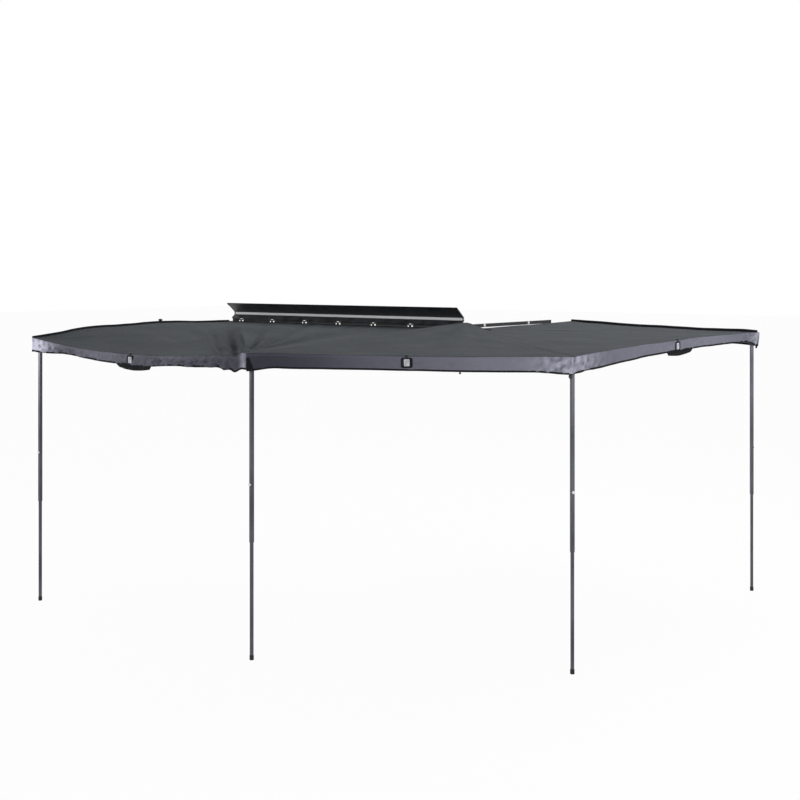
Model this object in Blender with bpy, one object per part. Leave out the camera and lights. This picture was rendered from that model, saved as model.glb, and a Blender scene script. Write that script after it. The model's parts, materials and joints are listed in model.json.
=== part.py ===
"""A 270 degree wrap-round vehicle side awning, set up: slim case, staggered hub, folding arms, legs, canopy.

Frame: metres, +Z up. The origin is the middle of the back panel's rear face. Forward on the vehicle is -X
and outboard is -Y. The case runs along X. Four drooping arms and one level rear arm swing on raked pins, so
that each lies level in its own column when the awning is stowed.
"""
import math

import bmesh
import bpy
from mathutils import Matrix, Vector

# Ground and general values
GROUND_Z = -1.897
GAP = 0.0003
UP = Vector((0.0, 0.0, 1.0))

# Back panel, an extrusion with two T-slots at its rear
PANEL_FRONT_X = -1.297
PANEL_REAR_X = 1.490
PANEL_HEIGHT = 0.082
PANEL_WALL = 0.003
SLOT_OFFSET = 0.022
SLOT_MOUTH = 0.0065
SLOT_WIDTH = 0.012
SLOT_LIP = 0.002
SLOT_DEPTH = 0.0055
SLOT_WALL = 0.0015

# Case floor
FLOOR_FRONT_X = -1.227
FLOOR_REAR_X = 1.223
FLOOR_FRONT_Y = -0.131
FLOOR_THICKNESS = 0.003
LEG_SLOT_WIDTH = 0.050
LEG_SLOT_CLEAR = 0.0018

# Lid, open at rest: its section as (outboard of the hinge, above the hinge)
LID_FRONT_X = -1.2245
LID_REAR_X = 1.2240
HINGE_Y = -0.010
HINGE_Z = 0.056
LID_SHEET = 0.002
LID_FOOT = (-0.0085, 0.0085)
LID_WAIST_LOW = (-0.040, 0.040)
LID_WAIST_HIGH = (-0.040, 0.066)
LID_LIP = (0.050, 0.141)
LID_TRAVEL = math.radians(107.0)
RIM_THICKNESS = 0.0016
RIM_DEPTH_FOOT = 0.009
RIM_DEPTH_WAIST = 0.004
RIM_DEPTH_LIP = 0.008
RIM_DEPTH_ARM = 0.0023
STRIPE_HEIGHT = 0.019
STRIPE_THICKNESS = 0.0008
SEAL_HEIGHT = 0.0033
SEAL_WIDTH = 0.0045
KEEPER_PROUD = 0.0017

# Hinge
HINGE_COUNT = 7
HINGE_PITCH = 0.370
KNUCKLE_RADIUS = 0.0048
ROD_RADIUS = 0.0022
LEAF_WIDTH = 0.022
STRAP_SHEET = 0.0025
SINK = 0.0005
LID_KNUCKLE_WIDTH = 0.012

# Hub and front bracket
HUB_PLATE = 0.004
HUB_PLATE_GAP = 0.0328
HUB_PLATE_LOW_TOP = -0.0068
HUB_EDGE = 0.016
PIN_RADIUS = 0.0045
PIN_HEAD_RADIUS = 0.0085
PIN_HEAD = 0.0022
PIN_CLEAR = 0.0004
PIN_HEAD_GAP = 0.0008
WEB_SHEET = 0.004
FRONT_BRACKET_WIDTH = 0.030

# Arms
ARM_WIDTH = 0.017
ARM_HEIGHT = 0.026
ARM_WALL = 0.0016
ARM_ROOT_Z = 0.011
ARM_EYE_RADIUS = 0.0115
ARM_TUBE_START = 0.034
ARM_PLUG = 0.030
COLUMN_FIRST = 0.010
COLUMN_PITCH = 0.025
HUB_STEP = 0.087
FRONT_PIVOT_X = -1.257
HUB_X = 1.273
REAR_ARM_X = 1.293
REAR_ARM_COLUMN = 0.055
REAR_ARM_LOW = 0.046
REAR_ARM_WIDTH = 0.018
REAR_ARM_HEIGHT = 0.027
REAR_ARM_LENGTH = 1.250
REAR_CAP_LENGTH = 0.012
REAR_BUTTON_RADIUS = 0.013
REAR_BUTTON_PLACES = (0.256, 0.890)

# Leg heads and legs
LEG_PIVOT_DROP = 0.014
LEG_PIN_RADIUS = 0.003
CLEVIS_LENGTH = 0.030
CLEVIS_NOSE = 0.012
EAR_RADIUS = 0.009
CLEVIS_WIDTH = 0.0205
CLEVIS_CHEEK = 0.0035
TONGUE_WIDTH = 0.012
TONGUE_RADIUS = 0.0085
LEG_WIDTH = 0.023
LEG_WALL = 0.0016
LEG_HEAD_DROP = 0.020
LEG_JOINT_Z = GROUND_Z + 0.720
COLLAR_HEIGHT = 0.006
INNER_WIDTH = 0.018
INNER_LENGTH = 1.100
INNER_WALL = 0.0015
FOOT_WIDTH = 0.0225
FOOT_HEIGHT = 0.028
FOOT_SOLE = 0.006
KNOB_Z = GROUND_Z + 1.067
KNOB_RADIUS = 0.0095
KNOB_PROUD = 0.0088
KNOB_STEM = 0.0020
LEG_SLIDE = 0.660

# Latches
LATCH_X = 0.450
LATCH_Y = HINGE_Y - 0.1265
LATCH_Z = HINGE_Z - 0.094
LATCH_WIDTH = 0.030
LATCH_LENGTH = 0.058
LATCH_SHEET = 0.003
LATCH_HOOK = 0.002
LATCH_BARREL = 0.0033
LATCH_PIN_RADIUS = 0.0015
LATCH_BARREL_WIDTH = 0.0132
LATCH_TRAVEL = math.radians(202.8)

# Rack brackets
RACK_BRACKET_PLACES = (-0.950, -0.320, 0.320, 0.950)
RACK_BRACKET_WIDTH = 0.050
RACK_BRACKET_SHEET = 0.005
RACK_BRACKET_REACH = 0.085
RACK_BOLT_RADIUS = 0.0030

# Canopy: corner points, cloth and its folds
CLOTH = 0.0015
CLOTH_GAP = 0.0020
CASE_EDGE_Z = 0.0375
CASE_EDGE_Y = -0.0034
CASE_EDGE_FRONT_X = -1.236
CASE_EDGE_TURN = 0.085
RIDGE_RISE = 0.051
RIDGE_WIDTH_FRONT = 0.034
RIDGE_WIDTH_REAR = 0.34
CREASE_DEPTH = 0.010
GATHER_DEPTH = 0.004
SEAM_GAP = 0.00025
HEM_INSET = 0.0014
END_SPREAD = 0.00105
HUB_POINT = Vector((HUB_X + 0.012, HINGE_Y - 0.026, CASE_EDGE_Z))
SAG = {"side": 0.050, "rear_side": 0.008, "rear": -0.020, "inner": 0.010}
FRONT_BUMP = 0.034
FRONT_EDGE_AHEAD = 0.010
FRONT_VALANCE_START = 0.130
VALANCE_DEPTH = 0.100
VALANCE_RIPPLE = 0.004

# Leg centres on plan and arm tip heights, by arm name
ARMS = {
    "front_arm": {"foot": (-0.947, -2.180), "tip_z": -0.029},
    "arm_2": {"foot": (1.203, -2.200), "tip_z": -0.050},
    "arm_3": {"foot": (2.873, -1.230), "tip_z": -0.057},
    "arm_4": {"foot": (2.993, 1.220), "tip_z": -0.006},
}

# Canopy corners: the arm below each one, and how far the cloth reaches past its leg and above its tip
CORNER_REACH = {
    "front": ("front_arm", (-0.015, -0.058, 0.021)),
    "side": ("arm_2", (0.011, -0.056, 0.023)),
    "rear_side": ("arm_3", (0.052, -0.032, 0.023)),
    "rear": ("arm_4", (0.043, 0.042, 0.023)),
}
INNER_REACH = (0.019, 0.305, -0.020)
CORNERS = {name: Vector((*ARMS[arm]["foot"], ARMS[arm]["tip_z"])) + Vector(reach)
           for name, (arm, reach) in CORNER_REACH.items()}
CORNERS["inner"] = Vector((REAR_ARM_X, HINGE_Y - REAR_ARM_COLUMN + REAR_ARM_LENGTH,
                           REAR_ARM_LOW + REAR_ARM_HEIGHT)) + Vector(INNER_REACH)
LEG_OF = {"front_arm": "leg_1", "arm_2": "leg_2", "arm_3": "leg_3", "arm_4": "leg_4"}

MATERIALS = {
    "black_aluminium": ((0.022, 0.023, 0.025), 0.85, 0.42),
    "plain_aluminium": ((0.56, 0.57, 0.58), 1.0, 0.35),
    "gunmetal_tube": ((0.060, 0.062, 0.072), 0.75, 0.38),
    "steel": ((0.50, 0.50, 0.50), 1.0, 0.30),
    "black_plastic": ((0.018, 0.018, 0.019), 0.0, 0.50),
    "silver_stripe": ((0.62, 0.63, 0.64), 0.1, 0.35),
    "rubber": ((0.012, 0.012, 0.012), 0.0, 0.75),
    "canopy_cloth": ((0.058, 0.063, 0.070), 0.0, 0.80),
    "valance_cloth": ((0.110, 0.110, 0.150), 0.0, 0.80),
}


def clear_scene():
    """Remove what the file holds."""
    for thing in list(bpy.data.objects):
        bpy.data.objects.remove(thing, do_unlink=True)


def make_material(name):
    """One Principled material from the table above."""
    colour, metallic, roughness = MATERIALS[name]
    material = bpy.data.materials.get(name) or bpy.data.materials.new(name)
    material.use_nodes = True
    shader = material.node_tree.nodes["Principled BSDF"]
    shader.inputs["Base Color"].default_value = (*colour, 1.0)
    shader.inputs["Metallic"].default_value = metallic
    shader.inputs["Roughness"].default_value = roughness
    return material


def joint_empty(name, place, parent=None):
    """An empty on a joint's axis; the pieces that move with the joint hang from it."""
    empty = bpy.data.objects.new(name, None)
    empty.empty_display_size = 0.05
    bpy.context.scene.collection.objects.link(empty)
    empty["place"] = list(place)
    offset = Vector(place)
    if parent is not None:
        empty.parent = parent
        offset = offset - Vector(parent["place"])
    empty.location = offset
    return empty


def make_node(name, bm, material, parent=None, smooth=False):
    """Turn a bmesh in world coordinates into a named object, hung from its joint's empty."""
    bmesh.ops.recalc_face_normals(bm, faces=bm.faces)
    origin = Vector(parent["place"]) if parent is not None else Vector((0.0, 0.0, 0.0))
    bmesh.ops.translate(bm, verts=bm.verts, vec=-origin)
    mesh = bpy.data.meshes.new(name)
    bm.to_mesh(mesh)
    bm.free()
    mesh.materials.append(make_material(material))
    if smooth:
        mesh.shade_smooth()
        mesh.set_sharp_from_angle(angle=math.radians(35.0))
    thing = bpy.data.objects.new(name, mesh)
    bpy.context.scene.collection.objects.link(thing)
    thing.parent = parent
    return thing


def cut(target, name, bm):
    """Take the closed solids of a bmesh, in world coordinates, out of a node with a Boolean."""
    cutter = make_node(name, bm, "steel", target.parent)
    cutter.hide_render = True
    cutter.display_type = "WIRE"
    modifier = target.modifiers.new(name, "BOOLEAN")
    modifier.operation = "DIFFERENCE"
    modifier.object = cutter


def join(target, name, bm):
    """Add the closed solids of a bmesh, in world coordinates, to a node with a Boolean."""
    extra = make_node(name, bm, "steel", target.parent)
    extra.hide_render = True
    extra.display_type = "WIRE"
    modifier = target.modifiers.new(name, "BOOLEAN")
    modifier.operation = "UNION"
    modifier.object = extra


def axes_matrix(origin, along, up):
    """Matrix whose z runs along the given direction, and whose y leans to the up direction."""
    z_axis = Vector(along).normalized()
    y_axis = (Vector(up) - z_axis * z_axis.dot(Vector(up))).normalized()
    x_axis = y_axis.cross(z_axis)
    matrix = Matrix((x_axis, y_axis, z_axis)).transposed().to_4x4()
    matrix.translation = Vector(origin)
    return matrix


ALONG_X = Matrix(((0, 0, 1), (1, 0, 0), (0, 1, 0))).to_4x4()


def prism(bm, outline, low, high, matrix=Matrix()):
    """A closed prism: the outline (x, y) drawn out from z = low to z = high."""
    bottom = [bm.verts.new(matrix @ Vector((x, y, low))) for x, y in outline]
    top = [bm.verts.new(matrix @ Vector((x, y, high))) for x, y in outline]
    bm.faces.new(list(reversed(bottom)))
    bm.faces.new(top)
    for index in range(len(outline)):
        following = (index + 1) % len(outline)
        bm.faces.new((bottom[index], bottom[following], top[following], top[index]))


def pipe(bm, outer, inner, low, high, matrix=Matrix()):
    """A closed tube wall between two outlines that have as many points as each other."""
    rings = []
    for outline in (outer, inner):
        for level in (low, high):
            rings.append([bm.verts.new(matrix @ Vector((x, y, level))) for x, y in outline])
    outer_low, outer_high, inner_low, inner_high = rings
    for index in range(len(outer)):
        following = (index + 1) % len(outer)
        for one, other in ((outer_low, outer_high), (outer_high, inner_high),
                           (inner_high, inner_low), (inner_low, outer_low)):
            bm.faces.new((one[index], one[following], other[following], other[index]))


def block(bm, low, high):
    """A box between two corners."""
    outline = ((low[0], low[1]), (high[0], low[1]), (high[0], high[1]), (low[0], high[1]))
    prism(bm, outline, low[2], high[2])


def circle(radius, count=16, centre=(0.0, 0.0)):
    """Points round a circle."""
    return [(centre[0] + radius * math.cos(math.tau * step / count),
             centre[1] + radius * math.sin(math.tau * step / count)) for step in range(count)]


def rectangle(width, height, corner=0.0):
    """Points round a rectangle that is centred, with its corners cut at 45 degrees."""
    half_w, half_h = width / 2, height / 2
    if corner == 0.0:
        return [(-half_w, -half_h), (half_w, -half_h), (half_w, half_h), (-half_w, half_h)]
    return [(-half_w + corner, -half_h), (half_w - corner, -half_h), (half_w, -half_h + corner),
            (half_w, half_h - corner), (half_w - corner, half_h), (-half_w + corner, half_h),
            (-half_w, half_h - corner), (-half_w, -half_h + corner)]


def rod(bm, start, end, radius, count=12):
    """A round bar from one point to another."""
    along = Vector(end) - Vector(start)
    side = Vector((1.0, 0.0, 0.0)) if abs(along.normalized().x) < 0.8 else UP
    prism(bm, circle(radius, count), 0.0, along.length, axes_matrix(start, along, side))


def rounded_outline(points, radius, count=5):
    """The outline that keeps a radius all round a convex run of points, given counter-clockwise."""
    outline = []
    for index, point in enumerate(points):
        before = Vector(points[index - 1])
        here = Vector(point)
        after = Vector(points[(index + 1) % len(points)])
        normal_in = Vector(((here - before).y, -(here - before).x)).normalized()
        normal_out = Vector(((after - here).y, -(after - here).x)).normalized()
        start = math.atan2(normal_in.y, normal_in.x)
        turn = (math.atan2(normal_out.y, normal_out.x) - start) % math.tau
        for step in range(count + 1):
            angle = start + turn * step / count
            outline.append((here.x + radius * math.cos(angle), here.y + radius * math.sin(angle)))
    return outline


class Arm:
    """Geometry of one swinging arm: its raked axis, its deployed direction and its stowed column."""

    def __init__(self, name, pivot_x, column, foot, tip_z, stowed):
        self.name = name
        self.pivot = Vector((pivot_x, HINGE_Y - column, ARM_ROOT_Z))
        self.tip = Vector((foot[0], foot[1], tip_z))
        self.along = (self.tip - self.pivot).normalized()
        self.length = (self.tip - self.pivot).length
        self.stowed = Vector(stowed)
        self.outward = Vector((self.along.x, self.along.y, 0.0)).normalized()
        self.side = UP.cross(self.outward)
        self.over = self.along.cross(self.side)
        self.droop = math.asin(-self.along.z)
        self.leg_pivot = self.tip - self.over * (ARM_HEIGHT / 2 + LEG_PIVOT_DROP)
        self.axis, self.angle = self.swing()

    def swing(self):
        """Axis and angle of the one turn that takes the drooping arm to level and upright in its column."""
        set_up = Matrix((self.along, self.side, self.over)).transposed()
        folded = Matrix((self.stowed, UP.cross(self.stowed), UP)).transposed()
        axis, angle = (folded @ set_up.transposed()).to_quaternion().to_axis_angle()
        if axis.z * self.stowed.x < 0.0:
            axis, angle = -axis, math.tau - angle
        return axis, angle % math.tau

    def stowed_tip_x(self):
        """Where the leg head stands along the case when the arm is stowed."""
        return self.pivot.x + self.stowed.x * self.length

    def matrix(self, start=0.0):
        """Local z runs out along the arm and local y is its height, from a distance past the pivot."""
        return axes_matrix(self.pivot + self.along * start, self.along, self.over)


def build_arms_table():
    """All four drooping arms. Each hub pivot steps aft and outboard of the last, one column each."""
    table = {}
    for index, name in enumerate(("arm_2", "arm_3", "arm_4")):
        spec = ARMS[name]
        table[name] = Arm(name, HUB_X + HUB_STEP * index, COLUMN_FIRST + COLUMN_PITCH * index,
                          spec["foot"], spec["tip_z"], (-1.0, 0.0, 0.0))
    spec = ARMS["front_arm"]
    table["front_arm"] = Arm("front_arm", FRONT_PIVOT_X, COLUMN_FIRST + COLUMN_PITCH * 3,
                             spec["foot"], spec["tip_z"], (1.0, 0.0, 0.0))
    return table


ARM_TABLE = build_arms_table()
REAR_PIVOT = Vector((REAR_ARM_X, HINGE_Y - REAR_ARM_COLUMN, REAR_ARM_LOW + REAR_ARM_HEIGHT / 2))
PANEL_TOP = PANEL_HEIGHT / 2
FLOOR_TOP = -PANEL_HEIGHT / 2 + FLOOR_THICKNESS
UPPER_PLATE_LOW = HUB_PLATE_LOW_TOP + HUB_PLATE_GAP
UPPER_PLATE_TOP = UPPER_PLATE_LOW + HUB_PLATE
LOWER_PLATE_LOW = HUB_PLATE_LOW_TOP - HUB_PLATE


def slot_outline(centre, going_up):
    """Points of one T-slot cut into the rear face, as (y, z), in rising or falling order."""
    points = [(0.0, -SLOT_MOUTH / 2), (-SLOT_LIP, -SLOT_MOUTH / 2), (-SLOT_LIP, -SLOT_WIDTH / 2),
              (-SLOT_DEPTH, -SLOT_WIDTH / 2), (-SLOT_DEPTH, SLOT_WIDTH / 2), (-SLOT_LIP, SLOT_WIDTH / 2),
              (-SLOT_LIP, SLOT_MOUTH / 2), (0.0, SLOT_MOUTH / 2)]
    points = [(y, z + centre) for y, z in points]
    return points if going_up else points[::-1]


def barrel(bm, radius, bore, strap_angle, strap_length, sheet, low, high, centre):
    """A hinge barrel along X with a strap that leaves it at an angle, as one tube-like solid."""
    half = math.asin(sheet / 2 / radius)
    count = 12
    outer, inner = [], []
    for step in range(count + 1):
        angle = strap_angle + half + (math.tau - 2 * half) * step / count
        outer.append((radius * math.cos(angle), radius * math.sin(angle)))
        inner.append((bore * math.cos(angle), bore * math.sin(angle)))
    run = Vector((math.cos(strap_angle), math.sin(strap_angle)))
    across = Vector((-run.y, run.x)) * sheet / 2
    outer += [tuple(run * strap_length - across), tuple(run * strap_length + across)]
    inner += [(bore * math.cos(strap_angle - half / 3), bore * math.sin(strap_angle - half / 3)),
              (bore * math.cos(strap_angle + half / 3), bore * math.sin(strap_angle + half / 3))]
    matrix = ALONG_X.copy()
    matrix.translation = Vector((0.0, centre[0], centre[1]))
    pipe(bm, outer, inner, low, high, matrix)


def hinge_places():
    """Middles of the lid's hinges along the case."""
    first = -HINGE_PITCH * (HINGE_COUNT - 1) / 2
    return [first + HINGE_PITCH * step for step in range(HINGE_COUNT)]


def build_back_panel():
    """The extruded back panel, with a T-slot in a raised boss above and below its flat middle land.

    The fixed hinge barrels stand on straps that rise from its top edge.
    """
    boss = SLOT_WIDTH / 2 + SLOT_WALL
    boss_y = -SLOT_DEPTH - SLOT_WALL
    outline = [(0.0, -PANEL_TOP)]
    outline += slot_outline(-SLOT_OFFSET, True) + slot_outline(SLOT_OFFSET, True)
    outline += [(0.0, PANEL_TOP), (-PANEL_WALL, PANEL_TOP)]
    for centre in (SLOT_OFFSET, -SLOT_OFFSET):
        outline += [(-PANEL_WALL, centre + boss), (boss_y, centre + boss - 0.001)]
        outline += [(boss_y, centre - boss + 0.001), (-PANEL_WALL, centre - boss)]
    outline += [(-PANEL_WALL, -PANEL_TOP)]
    bm = bmesh.new()
    prism(bm, outline, PANEL_FRONT_X, PANEL_REAR_X, ALONG_X)
    panel = make_node("back_panel", bm, "black_aluminium")
    bm = bmesh.new()
    seat = Vector((-PANEL_WALL / 2 - HINGE_Y, PANEL_TOP - STRAP_SHEET - HINGE_Z))
    for place in hinge_places():
        barrel(bm, KNUCKLE_RADIUS, ROD_RADIUS + GAP, math.atan2(seat.y, seat.x), seat.length, STRAP_SHEET,
               place - LEAF_WIDTH / 2, place + LEAF_WIDTH / 2, (HINGE_Y, HINGE_Z))
    join(panel, "fixed_hinges", bm)
    bm = bmesh.new()
    reach = hinge_places()[-1] + LEAF_WIDTH / 2 + LID_KNUCKLE_WIDTH + 0.002
    rod(bm, (-reach, HINGE_Y, HINGE_Z), (reach, HINGE_Y, HINGE_Z), ROD_RADIUS, 8)
    make_node("hinge_rod", bm, "steel", smooth=True)


def floor_notches():
    """Leg slots in the floor (low x, high x, back y), from the stowed arm tips; close ones become one."""
    notches = []
    for arm in sorted(ARM_TABLE.values(), key=lambda one: one.stowed_tip_x()):
        place = arm.stowed_tip_x()
        low, high = place - LEG_SLOT_WIDTH / 2, place + LEG_SLOT_WIDTH / 2
        back = arm.pivot.y + LEG_WIDTH / 2 + LEG_SLOT_CLEAR
        if notches and low < notches[-1][1]:
            notches[-1] = (notches[-1][0], high, max(back, notches[-1][2]))
        else:
            notches.append((low, high, back))
    return notches


def build_floor():
    """The case floor with open slots where the hanging legs swing in, and the latches' cheeks and pins."""
    rear = -PANEL_WALL - GAP
    outline = [(FLOOR_FRONT_X, rear), (FLOOR_FRONT_X, FLOOR_FRONT_Y)]
    for low, high, back in floor_notches():
        outline += [(low, FLOOR_FRONT_Y), (low, back - 0.008), (low + 0.008, back),
                    (high - 0.008, back), (high, back - 0.008), (high, FLOOR_FRONT_Y)]
    outline += [(FLOOR_REAR_X, FLOOR_FRONT_Y), (FLOOR_REAR_X, rear)]
    bm = bmesh.new()
    prism(bm, outline, -PANEL_TOP, FLOOR_TOP)
    floor = make_node("case_floor", bm, "black_aluminium")
    at_axis = ALONG_X.copy()
    at_axis.translation = Vector((0.0, LATCH_Y, LATCH_Z))
    under = -PANEL_TOP + 0.0004 - LATCH_Z
    over = FLOOR_TOP - 0.0004 - LATCH_Z
    inboard = FLOOR_FRONT_Y + 0.006 - LATCH_Y
    eye = LATCH_PIN_RADIUS + 0.0007
    cheek = [(inboard, under), (inboard, over), (eye * 2, over), (eye, eye), (-eye, eye), (-eye, -eye),
             (0.0, under)]
    cheeks, pins = bmesh.new(), bmesh.new()
    outer = LATCH_WIDTH / 2
    inner = LATCH_BARREL_WIDTH / 2 + GAP
    for place in (-LATCH_X, LATCH_X):
        for low, high in ((-outer, -inner), (inner, outer)):
            prism(cheeks, cheek, place + low, place + high, at_axis)
        rod(pins, (place - inner - 0.004, LATCH_Y, LATCH_Z), (place + inner + 0.004, LATCH_Y, LATCH_Z),
            LATCH_PIN_RADIUS, 8)
    join(floor, "latch_cheeks", cheeks)
    join(floor, "latch_pins", pins)


def lid_points():
    """The lid's outer section from foot to lip, as world (y, z)."""
    return [(HINGE_Y - out, HINGE_Z + up) for out, up in (LID_FOOT, LID_WAIST_LOW, LID_WAIST_HIGH, LID_LIP)]


def offset_inwards(points, depths):
    """Points moved off an open run of points, towards the lid's hollow, by a depth at each point."""
    moved = []
    for index, point in enumerate(points):
        here = Vector(point)
        before = Vector(points[max(index - 1, 0)])
        after = Vector(points[min(index + 1, len(points) - 1)])
        normals = []
        for one, other in ((before, here), (here, after)):
            step = other - one
            if step.length > 0.0:
                normals.append(Vector((-step.y, step.x)).normalized())
        middle = sum(normals, Vector((0.0, 0.0))).normalized()
        stretch = 1.0 / max(0.3, middle.dot(normals[0]))
        moved.append(tuple(here + middle * depths[index] * stretch))
    return moved


def build_lid(lid_empty):
    """The folded lid sheet with its rims, hinge barrels and latch keepers, its stripe and its lip seal."""
    outer = lid_points()
    inner = offset_inwards(outer, [LID_SHEET] * len(outer))
    start, end = LID_FRONT_X, LID_REAR_X
    waist, lip = Vector(outer[2]), Vector(outer[3])
    run = (lip - waist).normalized()
    across = (Vector(inner[3]) - lip).normalized()
    bm = bmesh.new()
    prism(bm, outer + inner[::-1], start, end, ALONG_X)
    shell = make_node("lid_shell", bm, "black_aluminium", lid_empty)

    passing = [tuple(waist.lerp(lip, share)) for share in (0.30, 0.62)]
    rim_foot = tuple(Vector(outer[0]).lerp(Vector(outer[1]), 0.05))
    rim_lip = tuple(waist.lerp(lip, 0.99))
    shorter = [rim_foot, outer[1], outer[2], rim_lip]
    longer = [rim_foot, outer[1], outer[2]] + passing + [rim_lip]
    bm = bmesh.new()
    for points, depths, low, high in (
            (shorter, [RIM_DEPTH_FOOT, RIM_DEPTH_WAIST, RIM_DEPTH_WAIST, RIM_DEPTH_LIP],
             end - RIM_THICKNESS, end - SINK / 2),
            (longer, [RIM_DEPTH_FOOT, RIM_DEPTH_WAIST, RIM_DEPTH_WAIST, RIM_DEPTH_ARM, RIM_DEPTH_ARM,
                      RIM_DEPTH_LIP], start + SINK / 2, start + RIM_THICKNESS)):
        sunk = offset_inwards(points, [SINK] * len(points))
        prism(bm, sunk + offset_inwards(points, depths)[::-1], low, high, ALONG_X)
    join(shell, "lid_rims", bm)

    bm = bmesh.new()
    foot_angle = math.atan2(LID_FOOT[1], -LID_FOOT[0])
    for place in hinge_places():
        for side in (-1, 1):
            near = place + side * (LEAF_WIDTH / 2 + GAP)
            far = near + side * LID_KNUCKLE_WIDTH
            barrel(bm, KNUCKLE_RADIUS, ROD_RADIUS + GAP, foot_angle, 0.019, STRAP_SHEET,
                   min(near, far), max(near, far), (HINGE_Y, HINGE_Z))
    join(shell, "lid_hinges", bm)

    bm = bmesh.new()
    lever_end = LATCH_LENGTH - LATCH_HOOK - 0.0016
    lip_radius = lip_along_lever()
    low_end = lip - run * (lever_end - lip_radius - 0.005) + across * SINK
    high_end = lip - run * (lever_end - lip_radius) + across * SINK
    proud = across * (SINK + KEEPER_PROUD)
    keeper = [tuple(low_end), tuple(low_end - proud), tuple(high_end - proud), tuple(high_end)]
    for place in (-LATCH_X, LATCH_X):
        prism(bm, keeper, place - LATCH_WIDTH / 2 + 0.003, place + LATCH_WIDTH / 2 - 0.003, ALONG_X)
    join(shell, "latch_keepers", bm)

    bm = bmesh.new()
    stripe_y = inner[1][0] - GAP
    middle = (inner[1][1] + inner[2][1]) / 2
    block(bm, (start + 0.012, stripe_y - STRIPE_THICKNESS, middle - STRIPE_HEIGHT / 2),
          (end - 0.012, stripe_y, middle + STRIPE_HEIGHT / 2))
    make_node("lid_stripe", bm, "silver_stripe", lid_empty)

    bm = bmesh.new()
    near = lip + run * GAP - across * 0.0006
    far = near + run * SEAL_HEIGHT
    seal = [tuple(near), tuple(far), tuple(far + run * 0.0006 + across * SEAL_WIDTH / 2),
            tuple(far + across * SEAL_WIDTH), tuple(near + across * SEAL_WIDTH)]
    prism(bm, seal, start, end, ALONG_X)
    make_node("lid_seal", bm, "rubber", lid_empty)


def lip_along_lever():
    """How far up the closed lever the lid's lip stands, from the latch axis."""
    def closed(out, up):
        return Vector((out * math.cos(LID_TRAVEL) + up * math.sin(LID_TRAVEL),
                       -out * math.sin(LID_TRAVEL) + up * math.cos(LID_TRAVEL)))
    waist, lip = closed(*LID_WAIST_HIGH), closed(*LID_LIP)
    axis = Vector((HINGE_Y - LATCH_Y, LATCH_Z - HINGE_Z))
    return (lip - axis).dot((waist - lip).normalized())


def build_latches(latch_empties):
    """Two over-centre levers that hang from the barrels on the floor's front edge, hooked at their tips."""
    half = LATCH_SHEET / 2
    at_axis = ALONG_X.copy()
    at_axis.translation = Vector((0.0, LATCH_Y, LATCH_Z))
    top = -LATCH_BARREL - 0.0012
    lever = [(half, top), (half, -LATCH_LENGTH), (-half - LATCH_HOOK, -LATCH_LENGTH),
             (-half - LATCH_HOOK, -LATCH_LENGTH + LATCH_HOOK * 0.6), (-half, -LATCH_LENGTH + LATCH_HOOK),
             (-half, top)]
    for index, place in enumerate((-LATCH_X, LATCH_X)):
        bm = bmesh.new()
        barrel(bm, LATCH_BARREL, LATCH_PIN_RADIUS + GAP, -math.pi / 2, 0.012, LATCH_SHEET - 0.0004,
               place - LATCH_BARREL_WIDTH / 2, place + LATCH_BARREL_WIDTH / 2, (LATCH_Y, LATCH_Z))
        thing = make_node("latch_lever_%d" % (index + 1), bm, "steel", latch_empties[index])
        bm = bmesh.new()
        prism(bm, lever, place - LATCH_WIDTH / 2, place + LATCH_WIDTH / 2, at_axis)
        join(thing, "latch_plate_%d" % (index + 1), bm)


def plate_holes(axes, low, high):
    """Cutters for the pins, along each pin's own raked axis."""
    bm = bmesh.new()
    for pivot, axis in axes:
        per_rise = axis / axis.z
        start = pivot + per_rise * (low - pivot.z)
        end = pivot + per_rise * (high - pivot.z)
        rod(bm, start, end, PIN_RADIUS + PIN_CLEAR, 16)
    return bm


def build_hub():
    """The staggered hub: two plates on a web, and pins that are each raked to suit their arm's droop."""
    axes = [(ARM_TABLE[name].pivot, ARM_TABLE[name].axis) for name in ("arm_2", "arm_3", "arm_4")]
    first, last = axes[0][0], axes[2][0]
    rear = -SLOT_DEPTH - SLOT_WALL - GAP
    outline = rounded_outline([(first.x, REAR_PIVOT.y), (last.x, last.y), (last.x, first.y),
                               (first.x, first.y)], HUB_EDGE)
    outline = [(x, min(y, rear)) for x, y in outline]
    bracket = bracket_of_plates("hub_bracket", outline,
                                (first.x + ARM_EYE_RADIUS + 0.014, PANEL_REAR_X - 0.012), rear, WEB_SHEET, axes)
    cut(bracket, "rear_stud_hole", plate_holes([(REAR_PIVOT, UP.copy())], UPPER_PLATE_LOW - 0.004,
                                               UPPER_PLATE_TOP + 0.004))
    flange_top = UPPER_PLATE_TOP + GAP + PIN_HEAD
    bm = bmesh.new()
    pipe(bm, circle(ARM_EYE_RADIUS, 16), circle(PIN_RADIUS + PIN_CLEAR, 16), flange_top + GAP,
         REAR_ARM_LOW - GAP, Matrix.Translation((REAR_PIVOT.x, REAR_PIVOT.y, 0.0)))
    make_node("rear_arm_spacer", bm, "black_plastic", smooth=True)
    for name in ARM_TABLE:
        arm = ARM_TABLE[name]
        add_pin(name + "_pin", arm.pivot, arm.axis, UPPER_PLATE_TOP + PIN_HEAD_GAP)
    add_rear_stud(flange_top)


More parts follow.
